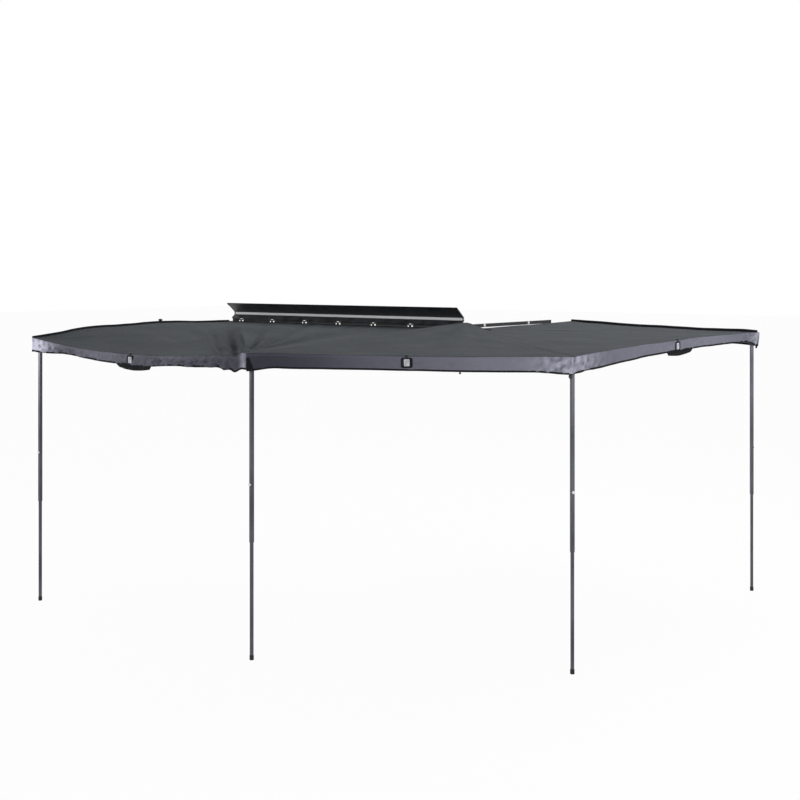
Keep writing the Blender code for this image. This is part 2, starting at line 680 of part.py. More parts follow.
def add_rear_stud(flange_top):
    """The rear arm's flanged stud. It ends flush in the upper plate, because the hub arms pass under it."""
    foot = UPPER_PLATE_LOW + PIN_CLEAR
    head = REAR_ARM_LOW + REAR_ARM_HEIGHT + PIN_HEAD_GAP - foot
    flange = flange_top - foot
    profile = [(PIN_RADIUS, 0.0), (PIN_RADIUS, flange - PIN_HEAD), (PIN_HEAD_RADIUS, flange - PIN_HEAD),
               (PIN_HEAD_RADIUS, flange), (PIN_RADIUS, flange), (PIN_RADIUS, head), (PIN_HEAD_RADIUS, head),
               (PIN_HEAD_RADIUS, head + PIN_HEAD - 0.0008), (PIN_HEAD_RADIUS - 0.001, head + PIN_HEAD)]
    bm = bmesh.new()
    turned(bm, profile, Matrix.Translation((REAR_PIVOT.x, REAR_PIVOT.y, foot)), 14)
    make_node("rear_arm_pin", bm, "steel", smooth=True)


def bracket_of_plates(name, outline, web_span, rear, web_sheet, axes):
    """Two like plates, one above and one below the arms, on a web against the back panel, with pin holes."""
    bm = bmesh.new()
    block(bm, (web_span[0], rear - web_sheet, LOWER_PLATE_LOW + 0.001), (web_span[1], rear - SINK,
                                                                        UPPER_PLATE_TOP - 0.001))
    bracket = make_node(name, bm, "black_aluminium")
    bm = bmesh.new()
    prism(bm, outline, UPPER_PLATE_LOW, UPPER_PLATE_TOP)
    prism(bm, outline, LOWER_PLATE_LOW, HUB_PLATE_LOW_TOP)
    join(bracket, name + "_plates", bm)
    cut(bracket, name + "_holes", plate_holes(axes, LOWER_PLATE_LOW - 0.004, UPPER_PLATE_TOP + 0.004))
    return bracket


def add_pin(name, pivot, axis, high):
    """One pin with a flat head at both ends, from under the lower plate up to a height, along its axis."""
    low = LOWER_PLATE_LOW - PIN_HEAD_GAP
    per_rise = axis / axis.z
    start = pivot + per_rise * (low - PIN_HEAD - pivot.z)
    end = pivot + per_rise * (high + PIN_HEAD - pivot.z)
    length = (end - start).length
    profile = [(PIN_HEAD_RADIUS - 0.001, 0.0), (PIN_HEAD_RADIUS, 0.0008), (PIN_HEAD_RADIUS, PIN_HEAD),
               (PIN_RADIUS, PIN_HEAD), (PIN_RADIUS, length - PIN_HEAD),
               (PIN_HEAD_RADIUS, length - PIN_HEAD), (PIN_HEAD_RADIUS, length - 0.0008),
               (PIN_HEAD_RADIUS - 0.001, length)]
    bm = bmesh.new()
    turned(bm, profile, axes_matrix(start, end - start, (1.0, 0.0, 0.0)), 14)
    make_node(name, bm, "steel", smooth=True)


def turned(bm, profile, matrix, count):
    """A turned solid: rings of the profile's (radius, height) points, closed by a flat face at each end."""
    rings = [[bm.verts.new(matrix @ Vector((x, y, height))) for x, y in circle(radius, count)]
             for radius, height in profile]
    for lower, upper in zip(rings, rings[1:]):
        for index in range(count):
            following = (index + 1) % count
            bm.faces.new((lower[index], lower[following], upper[following], upper[index]))
    bm.faces.new(rings[0][::-1])
    bm.faces.new(rings[-1])


def build_front_bracket():
    """The bracket that carries the front arm's pin, out from the front end of the panel."""
    arm = ARM_TABLE["front_arm"]
    rear = -SLOT_DEPTH - SLOT_WALL - GAP
    half = FRONT_BRACKET_WIDTH / 2
    outline = [(arm.pivot.x - half, rear)]
    outline += [(arm.pivot.x + half * math.cos(angle), arm.pivot.y + half * math.sin(angle))
                for angle in (math.pi + math.pi * step / 10 for step in range(11))]
    outline += [(arm.pivot.x + half, rear)]
    bracket_of_plates("front_bracket", outline, (arm.pivot.x - half + SINK, arm.pivot.x + half - SINK), rear,
                      WEB_SHEET * 2, [(arm.pivot, arm.axis)])


def build_rack_brackets():
    """L brackets with their T-slot bolts, which carry the case on a vehicle's roof rack."""
    sheet = RACK_BRACKET_SHEET
    low = -PANEL_TOP + 0.001
    section = [(GAP, PANEL_TOP - 0.006), (GAP, low), (RACK_BRACKET_REACH, low),
               (RACK_BRACKET_REACH, low + sheet), (GAP + sheet + 0.006, low + sheet),
               (GAP + sheet, low + sheet + 0.006), (GAP + sheet, PANEL_TOP - 0.006)]
    half = RACK_BRACKET_WIDTH / 2
    seat = -SLOT_DEPTH + GAP
    tee = SLOT_DEPTH - SLOT_LIP - 2 * GAP
    reach = GAP + sheet - seat
    profile = [(0.0047, 0.0), (0.0047, tee), (RACK_BOLT_RADIUS, tee), (RACK_BOLT_RADIUS, reach - SINK),
               (0.0058, reach - SINK), (0.0058, reach + 0.0045), (0.0048, reach + 0.0055)]
    for number, place in enumerate(RACK_BRACKET_PLACES):
        name = "rack_bracket_%d" % (number + 1)
        bm = bmesh.new()
        prism(bm, section, place - half, place + half, ALONG_X)
        thing = make_node(name, bm, "black_aluminium")
        bm = bmesh.new()
        for height in (-SLOT_OFFSET, SLOT_OFFSET):
            for side in (-1, 1):
                at = (place + side * RACK_BRACKET_WIDTH / 4, seat, height)
                turned(bm, profile, axes_matrix(at, (0.0, 1.0, 0.0), UP), 8)
        join(thing, name + "_bolts", bm)


def build_arm(arm, empty):
    """One drooping arm: a hollow tube, a root eye and the leg's clevis with its pin, both plugged in."""
    tube_end = arm.length - CLEVIS_LENGTH
    bore = (ARM_WIDTH - 2 * ARM_WALL, ARM_HEIGHT - 2 * ARM_WALL)
    plug = (bore[0] - 2 * GAP, bore[1] - 2 * GAP)
    bm = bmesh.new()
    pipe(bm, rectangle(ARM_WIDTH, ARM_HEIGHT, 0.002), rectangle(*bore, 0.001), 0.0, tube_end - ARM_TUBE_START,
         arm.matrix(ARM_TUBE_START))
    make_node(arm.name + "_tube", bm, "gunmetal_tube", empty)

    across = arm.over.cross(arm.along)
    half = ARM_WIDTH / 2
    eye_end = ARM_TUBE_START - GAP
    eye = [(ARM_EYE_RADIUS * math.cos(angle), ARM_EYE_RADIUS * math.sin(angle))
           for angle in (math.radians(60 + 240 * step / 12) for step in range(13))]
    eye += [(0.016, -half), (eye_end, -half), (eye_end, half), (0.016, half)]
    on_plan = Matrix((arm.along, across, arm.over)).transposed().to_4x4()
    on_plan.translation = arm.pivot
    bm = bmesh.new()
    prism(bm, eye, -ARM_HEIGHT / 2, ARM_HEIGHT / 2, on_plan)
    root = make_node(arm.name + "_root", bm, "black_plastic", empty)
    bm = bmesh.new()
    prism(bm, rectangle(*plug, 0.0012), 0.0, ARM_PLUG, arm.matrix(eye_end - 0.004))
    join(root, arm.name + "_root_plug", bm)
    cut(root, arm.name + "_root_bore",
        plate_holes([(arm.pivot, arm.axis)], -ARM_HEIGHT, ARM_HEIGHT * 1.5))

    at_tip = arm.matrix(tube_end + GAP)
    drop = -ARM_HEIGHT / 2 - LEG_PIVOT_DROP
    ear = [(-EAR_RADIUS - 0.001, -ARM_HEIGHT / 2 + 0.004)]
    ear += [(EAR_RADIUS * math.cos(angle), drop + EAR_RADIUS * math.sin(angle))
            for angle in (math.pi + math.pi * step / 8 for step in range(9))]
    ear += [(EAR_RADIUS + 0.001, -ARM_HEIGHT / 2 + 0.004)]
    upright = Matrix((arm.along, arm.over, arm.along.cross(arm.over))).transposed().to_4x4()
    bm = bmesh.new()
    prism(bm, rectangle(CLEVIS_WIDTH, ARM_HEIGHT, 0.003), 0.0, CLEVIS_LENGTH + CLEVIS_NOSE, at_tip)
    clevis = make_node(arm.name + "_clevis", bm, "black_plastic", empty)
    bm = bmesh.new()
    prism(bm, rectangle(*plug, 0.0012), -ARM_PLUG, 0.004, at_tip)
    for sign in (-1, 1):
        upright.translation = arm.tip + across * sign * (CLEVIS_WIDTH / 2 - CLEVIS_CHEEK / 2 - 0.0002)
        prism(bm, ear, -CLEVIS_CHEEK / 2, CLEVIS_CHEEK / 2, upright)
    join(clevis, arm.name + "_plug_and_ears", bm)
    bm = bmesh.new()
    reach = across * (CLEVIS_WIDTH / 2 - CLEVIS_CHEEK / 2)
    rod(bm, arm.leg_pivot - reach, arm.leg_pivot + reach, LEG_PIN_RADIUS, 12)
    join(clevis, arm.name + "_leg_pin", bm)


def build_leg(arm, fold_empty, slide_empty, knob_empty):
    """A telescopic leg: outer tube with a reducing collar, head, inner tube, foot and clamp knob."""
    name = LEG_OF[arm.name]
    pivot = arm.leg_pivot
    side = arm.side
    top = pivot.z - LEG_HEAD_DROP
    frame = axes_matrix((pivot.x, pivot.y, 0.0), UP, arm.outward)
    bore = LEG_WIDTH - 2 * LEG_WALL
    knob_at = Vector((pivot.x, pivot.y, KNOB_Z))
    bm = bmesh.new()
    pipe(bm, rectangle(LEG_WIDTH, LEG_WIDTH, 0.0022), rectangle(bore, bore, 0.0012), LEG_JOINT_Z, top, frame)
    tube = make_node(name + "_outer_tube", bm, "gunmetal_tube", fold_empty)
    bm = bmesh.new()
    rod(bm, knob_at + arm.outward * bore / 4, knob_at + arm.outward * LEG_WIDTH, KNOB_STEM + GAP, 10)
    cut(tube, name + "_knob_hole", bm)

    head = [(-TONGUE_RADIUS * math.cos(angle), pivot.z + TONGUE_RADIUS * math.sin(angle))
            for angle in (math.pi * step / 10 for step in range(11))]
    head += [(TONGUE_RADIUS, top - 0.004), (-TONGUE_RADIUS, top - 0.004)]
    upright = Matrix((arm.outward, UP, arm.outward.cross(UP))).transposed().to_4x4()
    upright.translation = Vector((pivot.x, pivot.y, 0.0))
    inner_bore = INNER_WIDTH + 4 * GAP
    bm = bmesh.new()
    pipe(bm, rectangle(LEG_WIDTH - 0.0002, LEG_WIDTH - 0.0002, 0.0026),
         rectangle(inner_bore, inner_bore, 0.0016), LEG_JOINT_Z - COLLAR_HEIGHT, LEG_JOINT_Z + SINK, frame)
    join(tube, name + "_collar", bm)

    bm = bmesh.new()
    prism(bm, head[::-1], -TONGUE_WIDTH / 2, TONGUE_WIDTH / 2, upright)
    fitting = make_node(name + "_head", bm, "black_plastic", fold_empty)
    bm = bmesh.new()
    prism(bm, rectangle(bore - 2 * GAP, bore - 2 * GAP, 0.0014), top - 0.026, top + 0.001, frame)
    join(fitting, name + "_head_plug", bm)
    bm = bmesh.new()
    prism(bm, rectangle(LEG_WIDTH - 0.001, LEG_WIDTH - 0.001, 0.003), top + GAP, top + 0.003, frame)
    join(fitting, name + "_head_shoulder", bm)
    bm = bmesh.new()
    rod(bm, pivot - side * LEG_WIDTH, pivot + side * LEG_WIDTH, LEG_PIN_RADIUS + GAP, 12)
    cut(fitting, name + "_head_bore", bm)

    bm = bmesh.new()
    inner_low = GROUND_Z + FOOT_SOLE + GAP
    pipe(bm, rectangle(INNER_WIDTH, INNER_WIDTH, 0.0016),
         rectangle(INNER_WIDTH - 2 * INNER_WALL, INNER_WIDTH - 2 * INNER_WALL, 0.0008),
         inner_low, inner_low + INNER_LENGTH, frame)
    make_node(name + "_inner_tube", bm, "gunmetal_tube", slide_empty)

    sole = rectangle(FOOT_WIDTH, FOOT_WIDTH, 0.004)
    cup = INNER_WIDTH + 2 * GAP
    bm = bmesh.new()
    prism(bm, sole, GROUND_Z, GROUND_Z + FOOT_HEIGHT, frame)
    foot = make_node(name + "_foot", bm, "rubber", slide_empty)
    bm = bmesh.new()
    prism(bm, rectangle(cup, cup, 0.0016), GROUND_Z + FOOT_SOLE, GROUND_Z + FOOT_HEIGHT + 0.01, frame)
    cut(foot, name + "_foot_cup", bm)

    bm = bmesh.new()
    face = knob_at + arm.outward * (LEG_WIDTH / 2)
    profile = [(KNOB_STEM, -LEG_WALL + GAP), (KNOB_STEM, GAP), (0.0050, GAP), (0.0056, 0.0018),
               (KNOB_RADIUS, 0.0024), (KNOB_RADIUS, KNOB_PROUD - 0.0010), (KNOB_RADIUS - 0.0012, KNOB_PROUD)]
    turned(bm, profile, axes_matrix(face, arm.outward, UP), 14)
    make_node(name + "_knob", bm, "plain_aluminium", knob_empty, smooth=True)


def build_rear_arm(empty):
    """The short level rear arm above the canopy's last edge, with a root eye, an end cap and two studs."""
    start = REAR_PIVOT.y + ARM_TUBE_START
    tube_end = REAR_PIVOT.y + REAR_ARM_LENGTH - REAR_CAP_LENGTH
    half = REAR_ARM_WIDTH / 2
    low, high = REAR_ARM_LOW, REAR_ARM_LOW + REAR_ARM_HEIGHT
    frame = axes_matrix((REAR_PIVOT.x, 0.0, REAR_PIVOT.z), (0.0, 1.0, 0.0), UP)
    bore = (REAR_ARM_WIDTH - 2 * ARM_WALL, REAR_ARM_HEIGHT - 2 * ARM_WALL)
    plug = rectangle(bore[0] - 2 * GAP, bore[1] - 2 * GAP, 0.0012)
    bm = bmesh.new()
    pipe(bm, rectangle(REAR_ARM_WIDTH, REAR_ARM_HEIGHT, 0.0025), rectangle(*bore, 0.0012), start, tube_end,
         frame)
    tube = make_node("rear_arm_tube", bm, "gunmetal_tube", empty)
    bm = bmesh.new()
    for place in REAR_BUTTON_PLACES:
        face = Vector((REAR_PIVOT.x + half - SINK, REAR_PIVOT.y + place, REAR_PIVOT.z))
        profile = [(REAR_BUTTON_RADIUS, 0.0), (REAR_BUTTON_RADIUS, 0.0024), (REAR_BUTTON_RADIUS * 0.8, 0.0040),
                   (REAR_BUTTON_RADIUS * 0.4, 0.0046)]
        turned(bm, profile, axes_matrix(face, (1.0, 0.0, 0.0), UP), 16)
    join(tube, "rear_arm_studs", bm)

    eye_end = ARM_TUBE_START - GAP
    eye = [(half * math.cos(angle), half * math.sin(angle))
           for angle in (math.pi + math.pi * step / 12 for step in range(13))]
    eye += [(half, eye_end), (-half, eye_end)]
    bm = bmesh.new()
    prism(bm, eye, low, high, Matrix.Translation((REAR_PIVOT.x, REAR_PIVOT.y, 0.0)))
    root = make_node("rear_arm_root", bm, "black_plastic", empty)
    bm = bmesh.new()
    prism(bm, plug, start - 0.004, start + ARM_PLUG, frame)
    join(root, "rear_arm_root_plug", bm)
    cut(root, "rear_arm_root_bore", plate_holes([(REAR_PIVOT, UP.copy())], low - 0.004, high + 0.004))

    dome = [(half * math.cos(angle), tube_end + GAP + 0.003 + (REAR_CAP_LENGTH - 0.003) * math.sin(angle))
            for angle in (math.pi * step / 8 for step in range(9))]
    dome += [(-half, tube_end + GAP), (half, tube_end + GAP)]
    bm = bmesh.new()
    prism(bm, dome, low, high, Matrix.Translation((REAR_PIVOT.x, 0.0, 0.0)))
    cap = make_node("rear_arm_cap", bm, "black_plastic", empty)
    bm = bmesh.new()
    prism(bm, plug, tube_end - ARM_PLUG, tube_end + 0.004, frame)
    join(cap, "rear_arm_cap_plug", bm)


def ridge_rise(x, y):
    """Height that the fold over the hub and down to the side corner adds to the canopy."""
    start = Vector((HUB_POINT.x, HUB_POINT.y))
    run = Vector((CORNERS["side"].x, CORNERS["side"].y)) - start
    length = run.length
    run.normalize()
    offset = Vector((x, y)) - start
    along = offset.dot(run)
    across = abs(offset.x * run.y - offset.y * run.x)
    fade = max(0.0, 1.0 - max(along, 0.0) / length)
    if offset.x < 0.0 and (offset.x * run.y - offset.y * run.x) > 0.0:
        width = RIDGE_WIDTH_FRONT + 0.16 * max(along, 0.0)
        spread = math.exp(-(across / width) ** 2)
        if along < 0.0:
            spread *= math.exp(-(along / 0.05) ** 2)
        return RIDGE_RISE * fade * spread
    width = RIDGE_WIDTH_REAR + 0.10 * max(along, 0.0)
    distance = across if along > 0.0 else offset.length
    return RIDGE_RISE * fade * math.exp(-(distance / width) ** 2)


def fold_depth(u, v):
    """Shallow folds of the front panel: a crease to the front corner and gathers near the ridge."""
    crease = -CREASE_DEPTH * math.exp(-((v - (0.06 + 0.90 * u ** 1.2)) / 0.035) ** 2) * math.sin(math.pi * u)
    gathers = GATHER_DEPTH * math.sin(26.0 * v + 6.0 * u) * math.sin(math.pi * v) * math.sin(math.pi * u)
    return crease + gathers


def front_edge(share):
    """The canopy's front edge from the case to the front corner, with the bump over its spring rod."""
    arm = ARM_TABLE["front_arm"]
    start = Vector((CASE_EDGE_FRONT_X, CASE_EDGE_Y, CASE_EDGE_Z + 0.001))
    point = start.lerp(CORNERS["front"], share)
    level_with = max(0.0, (arm.pivot.y - point.y) / (arm.pivot.y - arm.tip.y))
    blend = min(1.0, share / FRONT_VALANCE_START)
    ahead = arm.pivot.lerp(arm.tip, level_with).x - ARM_WIDTH / 2 - FRONT_EDGE_AHEAD
    point.x = point.x * (1.0 - blend) + min(point.x, ahead) * blend
    point.z += FRONT_BUMP * math.exp(-((share - 0.39) / 0.24) ** 2) * abs(math.sin(math.pi * share)) ** 0.5
    return point


def case_edge(share):
    """The canopy's edge along the case, from the front end to the hub."""
    x = CASE_EDGE_FRONT_X + (HUB_POINT.x - CASE_EDGE_FRONT_X) * share
    blend = max(0.0, 1.0 - (HUB_POINT.x - x) / CASE_EDGE_TURN)
    y = CASE_EDGE_Y + (HUB_POINT.y - CASE_EDGE_Y) * blend ** 2
    return Vector((x, y, CASE_EDGE_Z))


def front_panel_point(u, v):
    """Front canopy panel: u runs outboard from the case, v runs aft from the front edge to the ridge."""
    ridge = HUB_POINT.lerp(CORNERS["side"], u)
    outer = CORNERS["front"].lerp(CORNERS["side"], v)
    corner = ((1 - u) * (1 - v) * front_edge(0.0) + (1 - u) * v * HUB_POINT
              + u * (1 - v) * CORNERS["front"] + u * v * CORNERS["side"])
    point = (1 - u) * case_edge(v) + u * outer + (1 - v) * front_edge(u) + v * ridge - corner
    point.z -= SAG["side"] * 4 * v * (1 - v) * u ** 1.5
    point.z += ridge_rise(point.x, point.y) + fold_depth(u, v)
    return point


def fan_point(first, second, u, v):
    """A fan panel: u runs out from the hub, v turns from one arm's line to the next."""
    start, end = CORNERS[first], CORNERS[second]
    point = HUB_POINT + u * ((1 - v) * (start - HUB_POINT) + v * (end - HUB_POINT))
    point.z -= SAG[second] * 4 * v * (1 - v) * u * u
    point.z += ridge_rise(point.x, point.y)
    if second == "inner" and point.y > HUB_POINT.y:
        keep = REAR_ARM_X + REAR_ARM_WIDTH / 2 + REAR_BUTTON_RADIUS / 2
        if point.x < keep:
            point.x += (keep - point.x) * min(1.0, (point.y - HUB_POINT.y) / 0.05) * min(1.0, 3.0 * v)
    return point


def hang(point, outward, share, v, depth, scallop, seed):
    """A point of a hanging strip below an edge point: rippled, and drawn up between its corners."""
    length = depth * (1.0 - scallop * math.sin(math.pi * v) ** 2) * share
    wave = math.sin(19.0 * v + seed) + 0.6 * math.sin(41.0 * v + 2.0 * seed)
    steady = min(1.0, 8.0 * v, 8.0 * (1.0 - v))
    point = point + outward * VALANCE_RIPPLE * 0.6 * wave * share * steady
    point.z -= length
    return point


def edge_outward(first, second):
    """Level direction that faces away from the hub, square to the line between two corners."""
    run = CORNERS[second] - CORNERS[first]
    outward = Vector((run.y, -run.x, 0.0)).normalized()
    if outward.dot((CORNERS[first] + CORNERS[second]) / 2 - HUB_POINT) < 0.0:
        outward = -outward
    return outward


def sheet(name, rows, facing, parent, material):
    """A closed thin sheet from rows of points. Its thickness lies behind the side that faces one way."""
    bm = bmesh.new()
    grid = [[bm.verts.new(point) for point in row] for row in rows]
    for row, next_row in zip(grid, grid[1:]):
        for index in range(len(row) - 1):
            bm.faces.new((row[index], row[index + 1], next_row[index + 1], next_row[index]))
    bm.normal_update()
    total = sum((face.normal * face.calc_area() for face in bm.faces), Vector((0.0, 0.0, 0.0)))
    if total.dot(Vector(facing)) < 0.0:
        bmesh.ops.reverse_faces(bm, faces=bm.faces)
    origin = Vector(parent["place"])
    bmesh.ops.translate(bm, verts=bm.verts, vec=-origin)
    mesh = bpy.data.meshes.new(name)
    bm.to_mesh(mesh)
    bm.free()
    mesh.shade_smooth()
    mesh.set_sharp_from_angle(angle=math.radians(35.0))
    mesh.materials.append(make_material(material))
    thing = bpy.data.objects.new(name, mesh)
    bpy.context.scene.collection.objects.link(thing)
    thing.parent = parent
    thickness = thing.modifiers.new("cloth thickness", "SOLIDIFY")
    thickness.thickness = CLOTH
    thickness.offset = -1.0
    thickness.use_even_offset = False


def steps(count, low=0.0, high=1.0):
    """Evenly spaced values from low to high."""
    return [low + (high - low) * step / count for step in range(count + 1)]


def panel_rows(point_at, u_values, v_count, gap_at, outward, scallop, seed):
    """Rows of a roof panel that carries on down its outer edge as the panel's own hanging valance."""
    rows = []
    for u in u_values:
        side = gap_at(u)
        rows.append([point_at(u, side + (1 - 2 * side) * v) for v in steps(v_count)])
    for share in steps(2, 1 / 3):
        side = gap_at(1.0) + HEM_INSET * (1.0 + share)
        row = []
        for v in steps(v_count):
            at = side + (1 - 2 * side) * v
            row.append(hang(point_at(1.0, at), outward, share, v, VALANCE_DEPTH, scallop, seed))
        rows.append(row)
    return rows


def build_canopy(empties):
    """Four roof panels, each carried by an arm, with their valances; and the front edge's own valance."""
    def seam(u):
        wider = END_SPREAD * max(0.0, 1.0 - u / 0.15, (u - 0.92) / 0.08)
        return min(0.2, (SEAM_GAP + wider) / (max(u, 0.001) * 1.7))

    rows = panel_rows(front_panel_point, steps(14), 22, lambda u: SEAM_GAP / 2.2,
                      edge_outward("front", "side"), 0.10, 1.0)
    sheet("canopy_front", rows, UP, empties["arm_2"], "canopy_cloth")
    fans = (("canopy_side_rear", "side", "rear_side", "arm_2", 14, 0.12),
            ("canopy_rear", "rear_side", "rear", "arm_3", 16, 0.30),
            ("canopy_inner", "rear", "inner", "arm_4", 14, 0.15))
    for index, (name, first, second, arm, count, scallop) in enumerate(fans):
        rows = panel_rows(lambda u, v: fan_point(first, second, u, v), steps(11, 0.012), count, seam,
                          edge_outward(first, second), scallop, 2.0 + 1.7 * index)
        sheet(name, rows, UP, empties[arm], "canopy_cloth")
    outward = Vector((-1.0, 0.0, 0.0))
    rows = []
    for share in steps(4):
        row = []
        for v in steps(20, FRONT_VALANCE_START, 0.996):
            edge = front_edge(v)
            edge.z += ridge_rise(edge.x, edge.y) - CLOTH - CLOTH_GAP
            edge.x += CLOTH * 2
            row.append(hang(edge, outward, share, v, VALANCE_DEPTH, 0.10, 3.0))
        rows.append(row)
    sheet("valance_front", rows, outward, empties["arm_2"], "valance_cloth")


def main():
    """Build the whole awning."""
    clear_scene()
    lid_empty = joint_empty("lid_axis", (0.0, HINGE_Y, HINGE_Z))
    latch_empties = [joint_empty("latch_axis_%d" % (index + 1), (place, LATCH_Y, LATCH_Z))
                     for index, place in enumerate((-LATCH_X, LATCH_X))]
    build_back_panel()
    build_floor()
    build_lid(lid_empty)
    build_latches(latch_empties)
    build_hub()
    build_front_bracket()
    build_rack_brackets()
    empties = {}
    for name, arm in ARM_TABLE.items():
        empties[name] = joint_empty(name + "_axis", arm.pivot)
        leg = LEG_OF[name]
        fold = joint_empty(leg + "_fold_axis", arm.leg_pivot, empties[name])
        slide = joint_empty(leg + "_slide_axis", (arm.leg_pivot.x, arm.leg_pivot.y, LEG_JOINT_Z), fold)
        knob = joint_empty(leg + "_knob_axis", (arm.leg_pivot.x, arm.leg_pivot.y, KNOB_Z), fold)
        build_arm(arm, empties[name])
        build_leg(arm, fold, slide, knob)
    build_rear_arm(joint_empty("rear_arm_axis", REAR_PIVOT))
    build_canopy(empties)


main()
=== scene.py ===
"""Looks of a wrap-round vehicle side awning: cloth, finishes, trim, floor, light and camera.

Everything is in metres in the part's own frame: +X runs aft along the case, -Y is outboard and +Z is up.
"""
import json
import logging
import math
from dataclasses import dataclass, field
from enum import Enum
from typing import Callable, Sequence

import bpy
from mathutils import Matrix, Vector, noise

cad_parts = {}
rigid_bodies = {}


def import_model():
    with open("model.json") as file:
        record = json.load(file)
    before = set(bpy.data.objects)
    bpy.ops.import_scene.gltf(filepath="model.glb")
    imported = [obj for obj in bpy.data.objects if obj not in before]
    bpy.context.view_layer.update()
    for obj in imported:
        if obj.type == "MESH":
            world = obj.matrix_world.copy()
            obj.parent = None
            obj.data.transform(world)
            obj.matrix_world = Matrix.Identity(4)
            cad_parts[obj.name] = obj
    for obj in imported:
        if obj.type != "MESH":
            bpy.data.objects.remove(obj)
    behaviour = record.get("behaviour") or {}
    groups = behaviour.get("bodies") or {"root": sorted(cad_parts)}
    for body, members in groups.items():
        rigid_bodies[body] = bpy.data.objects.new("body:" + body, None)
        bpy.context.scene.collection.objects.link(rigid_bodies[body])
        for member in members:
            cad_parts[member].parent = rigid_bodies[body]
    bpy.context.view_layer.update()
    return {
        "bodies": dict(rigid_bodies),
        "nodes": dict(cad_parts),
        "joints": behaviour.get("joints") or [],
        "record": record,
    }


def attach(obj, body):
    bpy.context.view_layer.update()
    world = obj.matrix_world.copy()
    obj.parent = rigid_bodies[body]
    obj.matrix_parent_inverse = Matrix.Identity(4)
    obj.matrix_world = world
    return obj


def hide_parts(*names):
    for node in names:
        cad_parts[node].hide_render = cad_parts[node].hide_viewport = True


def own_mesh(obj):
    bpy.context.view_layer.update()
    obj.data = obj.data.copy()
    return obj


LOG = logging.getLogger("awning")
UP = Vector((0.0, 0.0, 1.0))
GROUND_Z = -1.897

Point = tuple[float, float, float]
Rows = list[list[Vector]]


class Slot(Enum):
    """The record's material slots that new pieces take their finish from."""

    PLAIN_ALUMINIUM = "plain_aluminium"
    BLACK_PLASTIC = "black_plastic"
    SILVER_STRIPE = "silver_stripe"
    CANOPY_CLOTH = "canopy_cloth"
    VALANCE_CLOTH = "valance_cloth"


class Corner(Enum):
    """Outer corners of the canopy, in the order that the arms open."""

    FRONT = (-0.962, -2.238, -0.008)
    SIDE = (1.214, -2.256, -0.027)
    REAR_SIDE = (2.908, -1.280, -0.034)
    REAR = (3.036, 1.262, 0.017)
    INNER = (1.312, 1.490, 0.053)

    @property
    def point(self) -> Vector:
        """The corner as a vector."""
        return Vector(self.value)


def linear(colour: str) -> tuple[float, float, float, float]:
    """Turn an sRGB hex value into the linear colour that shaders take.

    Args:
        colour: Hex value such as "#44474b".

    Returns:
        Linear red, green and blue, and an alpha of 1.
    """
    parts = [int(colour[place:place + 2], 16) / 255.0 for place in (1, 3, 5)]
    red, green, blue = (part / 12.92 if part <= 0.04045 else ((part + 0.055) / 1.055) ** 2.4
                        for part in parts)
    return red, green, blue, 1.0


def add_node(tree: bpy.types.NodeTree, kind: str, inputs: dict | None = None, **settings) -> bpy.types.Node:
    """Add a shader node with its settings, its input values and its incoming links.

    Args:
        tree: Node tree that takes the node.
        kind: Blender's identifier of the node type.
        inputs: Input name or number to a value, or to the socket that is linked there.
        **settings: Attributes that are set on the node.

    Returns:
        The new node.
    """
    node = tree.nodes.new(kind)
    for name, value in settings.items():
        setattr(node, name, value)
    for key, value in (inputs or {}).items():
        if isinstance(value, bpy.types.NodeSocket):
            tree.links.new(value, node.inputs[key])
        else:
            node.inputs[key].default_value = value
    return node


@dataclass(frozen=True)
class Finish:
    """A real surface: its name, its sRGB colour and how it scatters light."""

    name: str
    colour: str
    roughness: float
    metallic: float = 0.0

    def start(self) -> tuple[bpy.types.Material, bpy.types.NodeTree, bpy.types.Node]:
        """Make the material with its plain values.

        Returns:
            The material, its node tree and its Principled shader.
        """
        material = bpy.data.materials.new(self.name)
        material.use_nodes = True
        tree = material.node_tree
        shader = tree.nodes["Principled BSDF"]
        shader.inputs["Base Color"].default_value = linear(self.colour)
        shader.inputs["Roughness"].default_value = self.roughness
        shader.inputs["Metallic"].default_value = self.metallic
        return material, tree, shader

    def speckle(self, tree: bpy.types.NodeTree, place: bpy.types.NodeSocket, size: float,
                detail: float = 3.0) -> bpy.types.NodeSocket:
        """Add noise whose features have a real size.

        Args:
            tree: Node tree that takes the noise.
            place: Coordinates in metres.
            size: Size of one feature in metres.
            detail: Number of finer layers.

        Returns:
            The noise, from 0 to 1.
        """
        return add_node(tree, "ShaderNodeTexNoise", {"Vector": place, "Scale": 1.0 / size, "Detail": detail}
                        ).outputs[0]

    def between(self, tree: bpy.types.NodeTree, factor: bpy.types.NodeSocket, one: str,
                other: str) -> bpy.types.NodeSocket:
        """Mix two sRGB colours.

        Args:
            tree: Node tree that takes the mix.
            factor: Share of the second colour.
            one: First colour.
            other: Second colour.

        Returns:
            The mixed colour.
        """
        return add_node(tree, "ShaderNodeMix", {0: factor, 6: linear(one), 7: linear(other)},
                        data_type="RGBA").outputs[2]

    def spread(self, tree: bpy.types.NodeTree, value: bpy.types.NodeSocket, low: float,
               high: float) -> bpy.types.NodeSocket:
        """Stretch the middle of a noise over a range of values.

        Args:
            tree: Node tree that takes the range.
            value: Noise from 0 to 1.
            low: Result at 0.3.
            high: Result at 0.7.

        Returns:
            The value in its new range.
        """
        return add_node(tree, "ShaderNodeMapRange", {"Value": value, "From Min": 0.3, "From Max": 0.7,
                                                     "To Min": low, "To Max": high}).outputs[0]


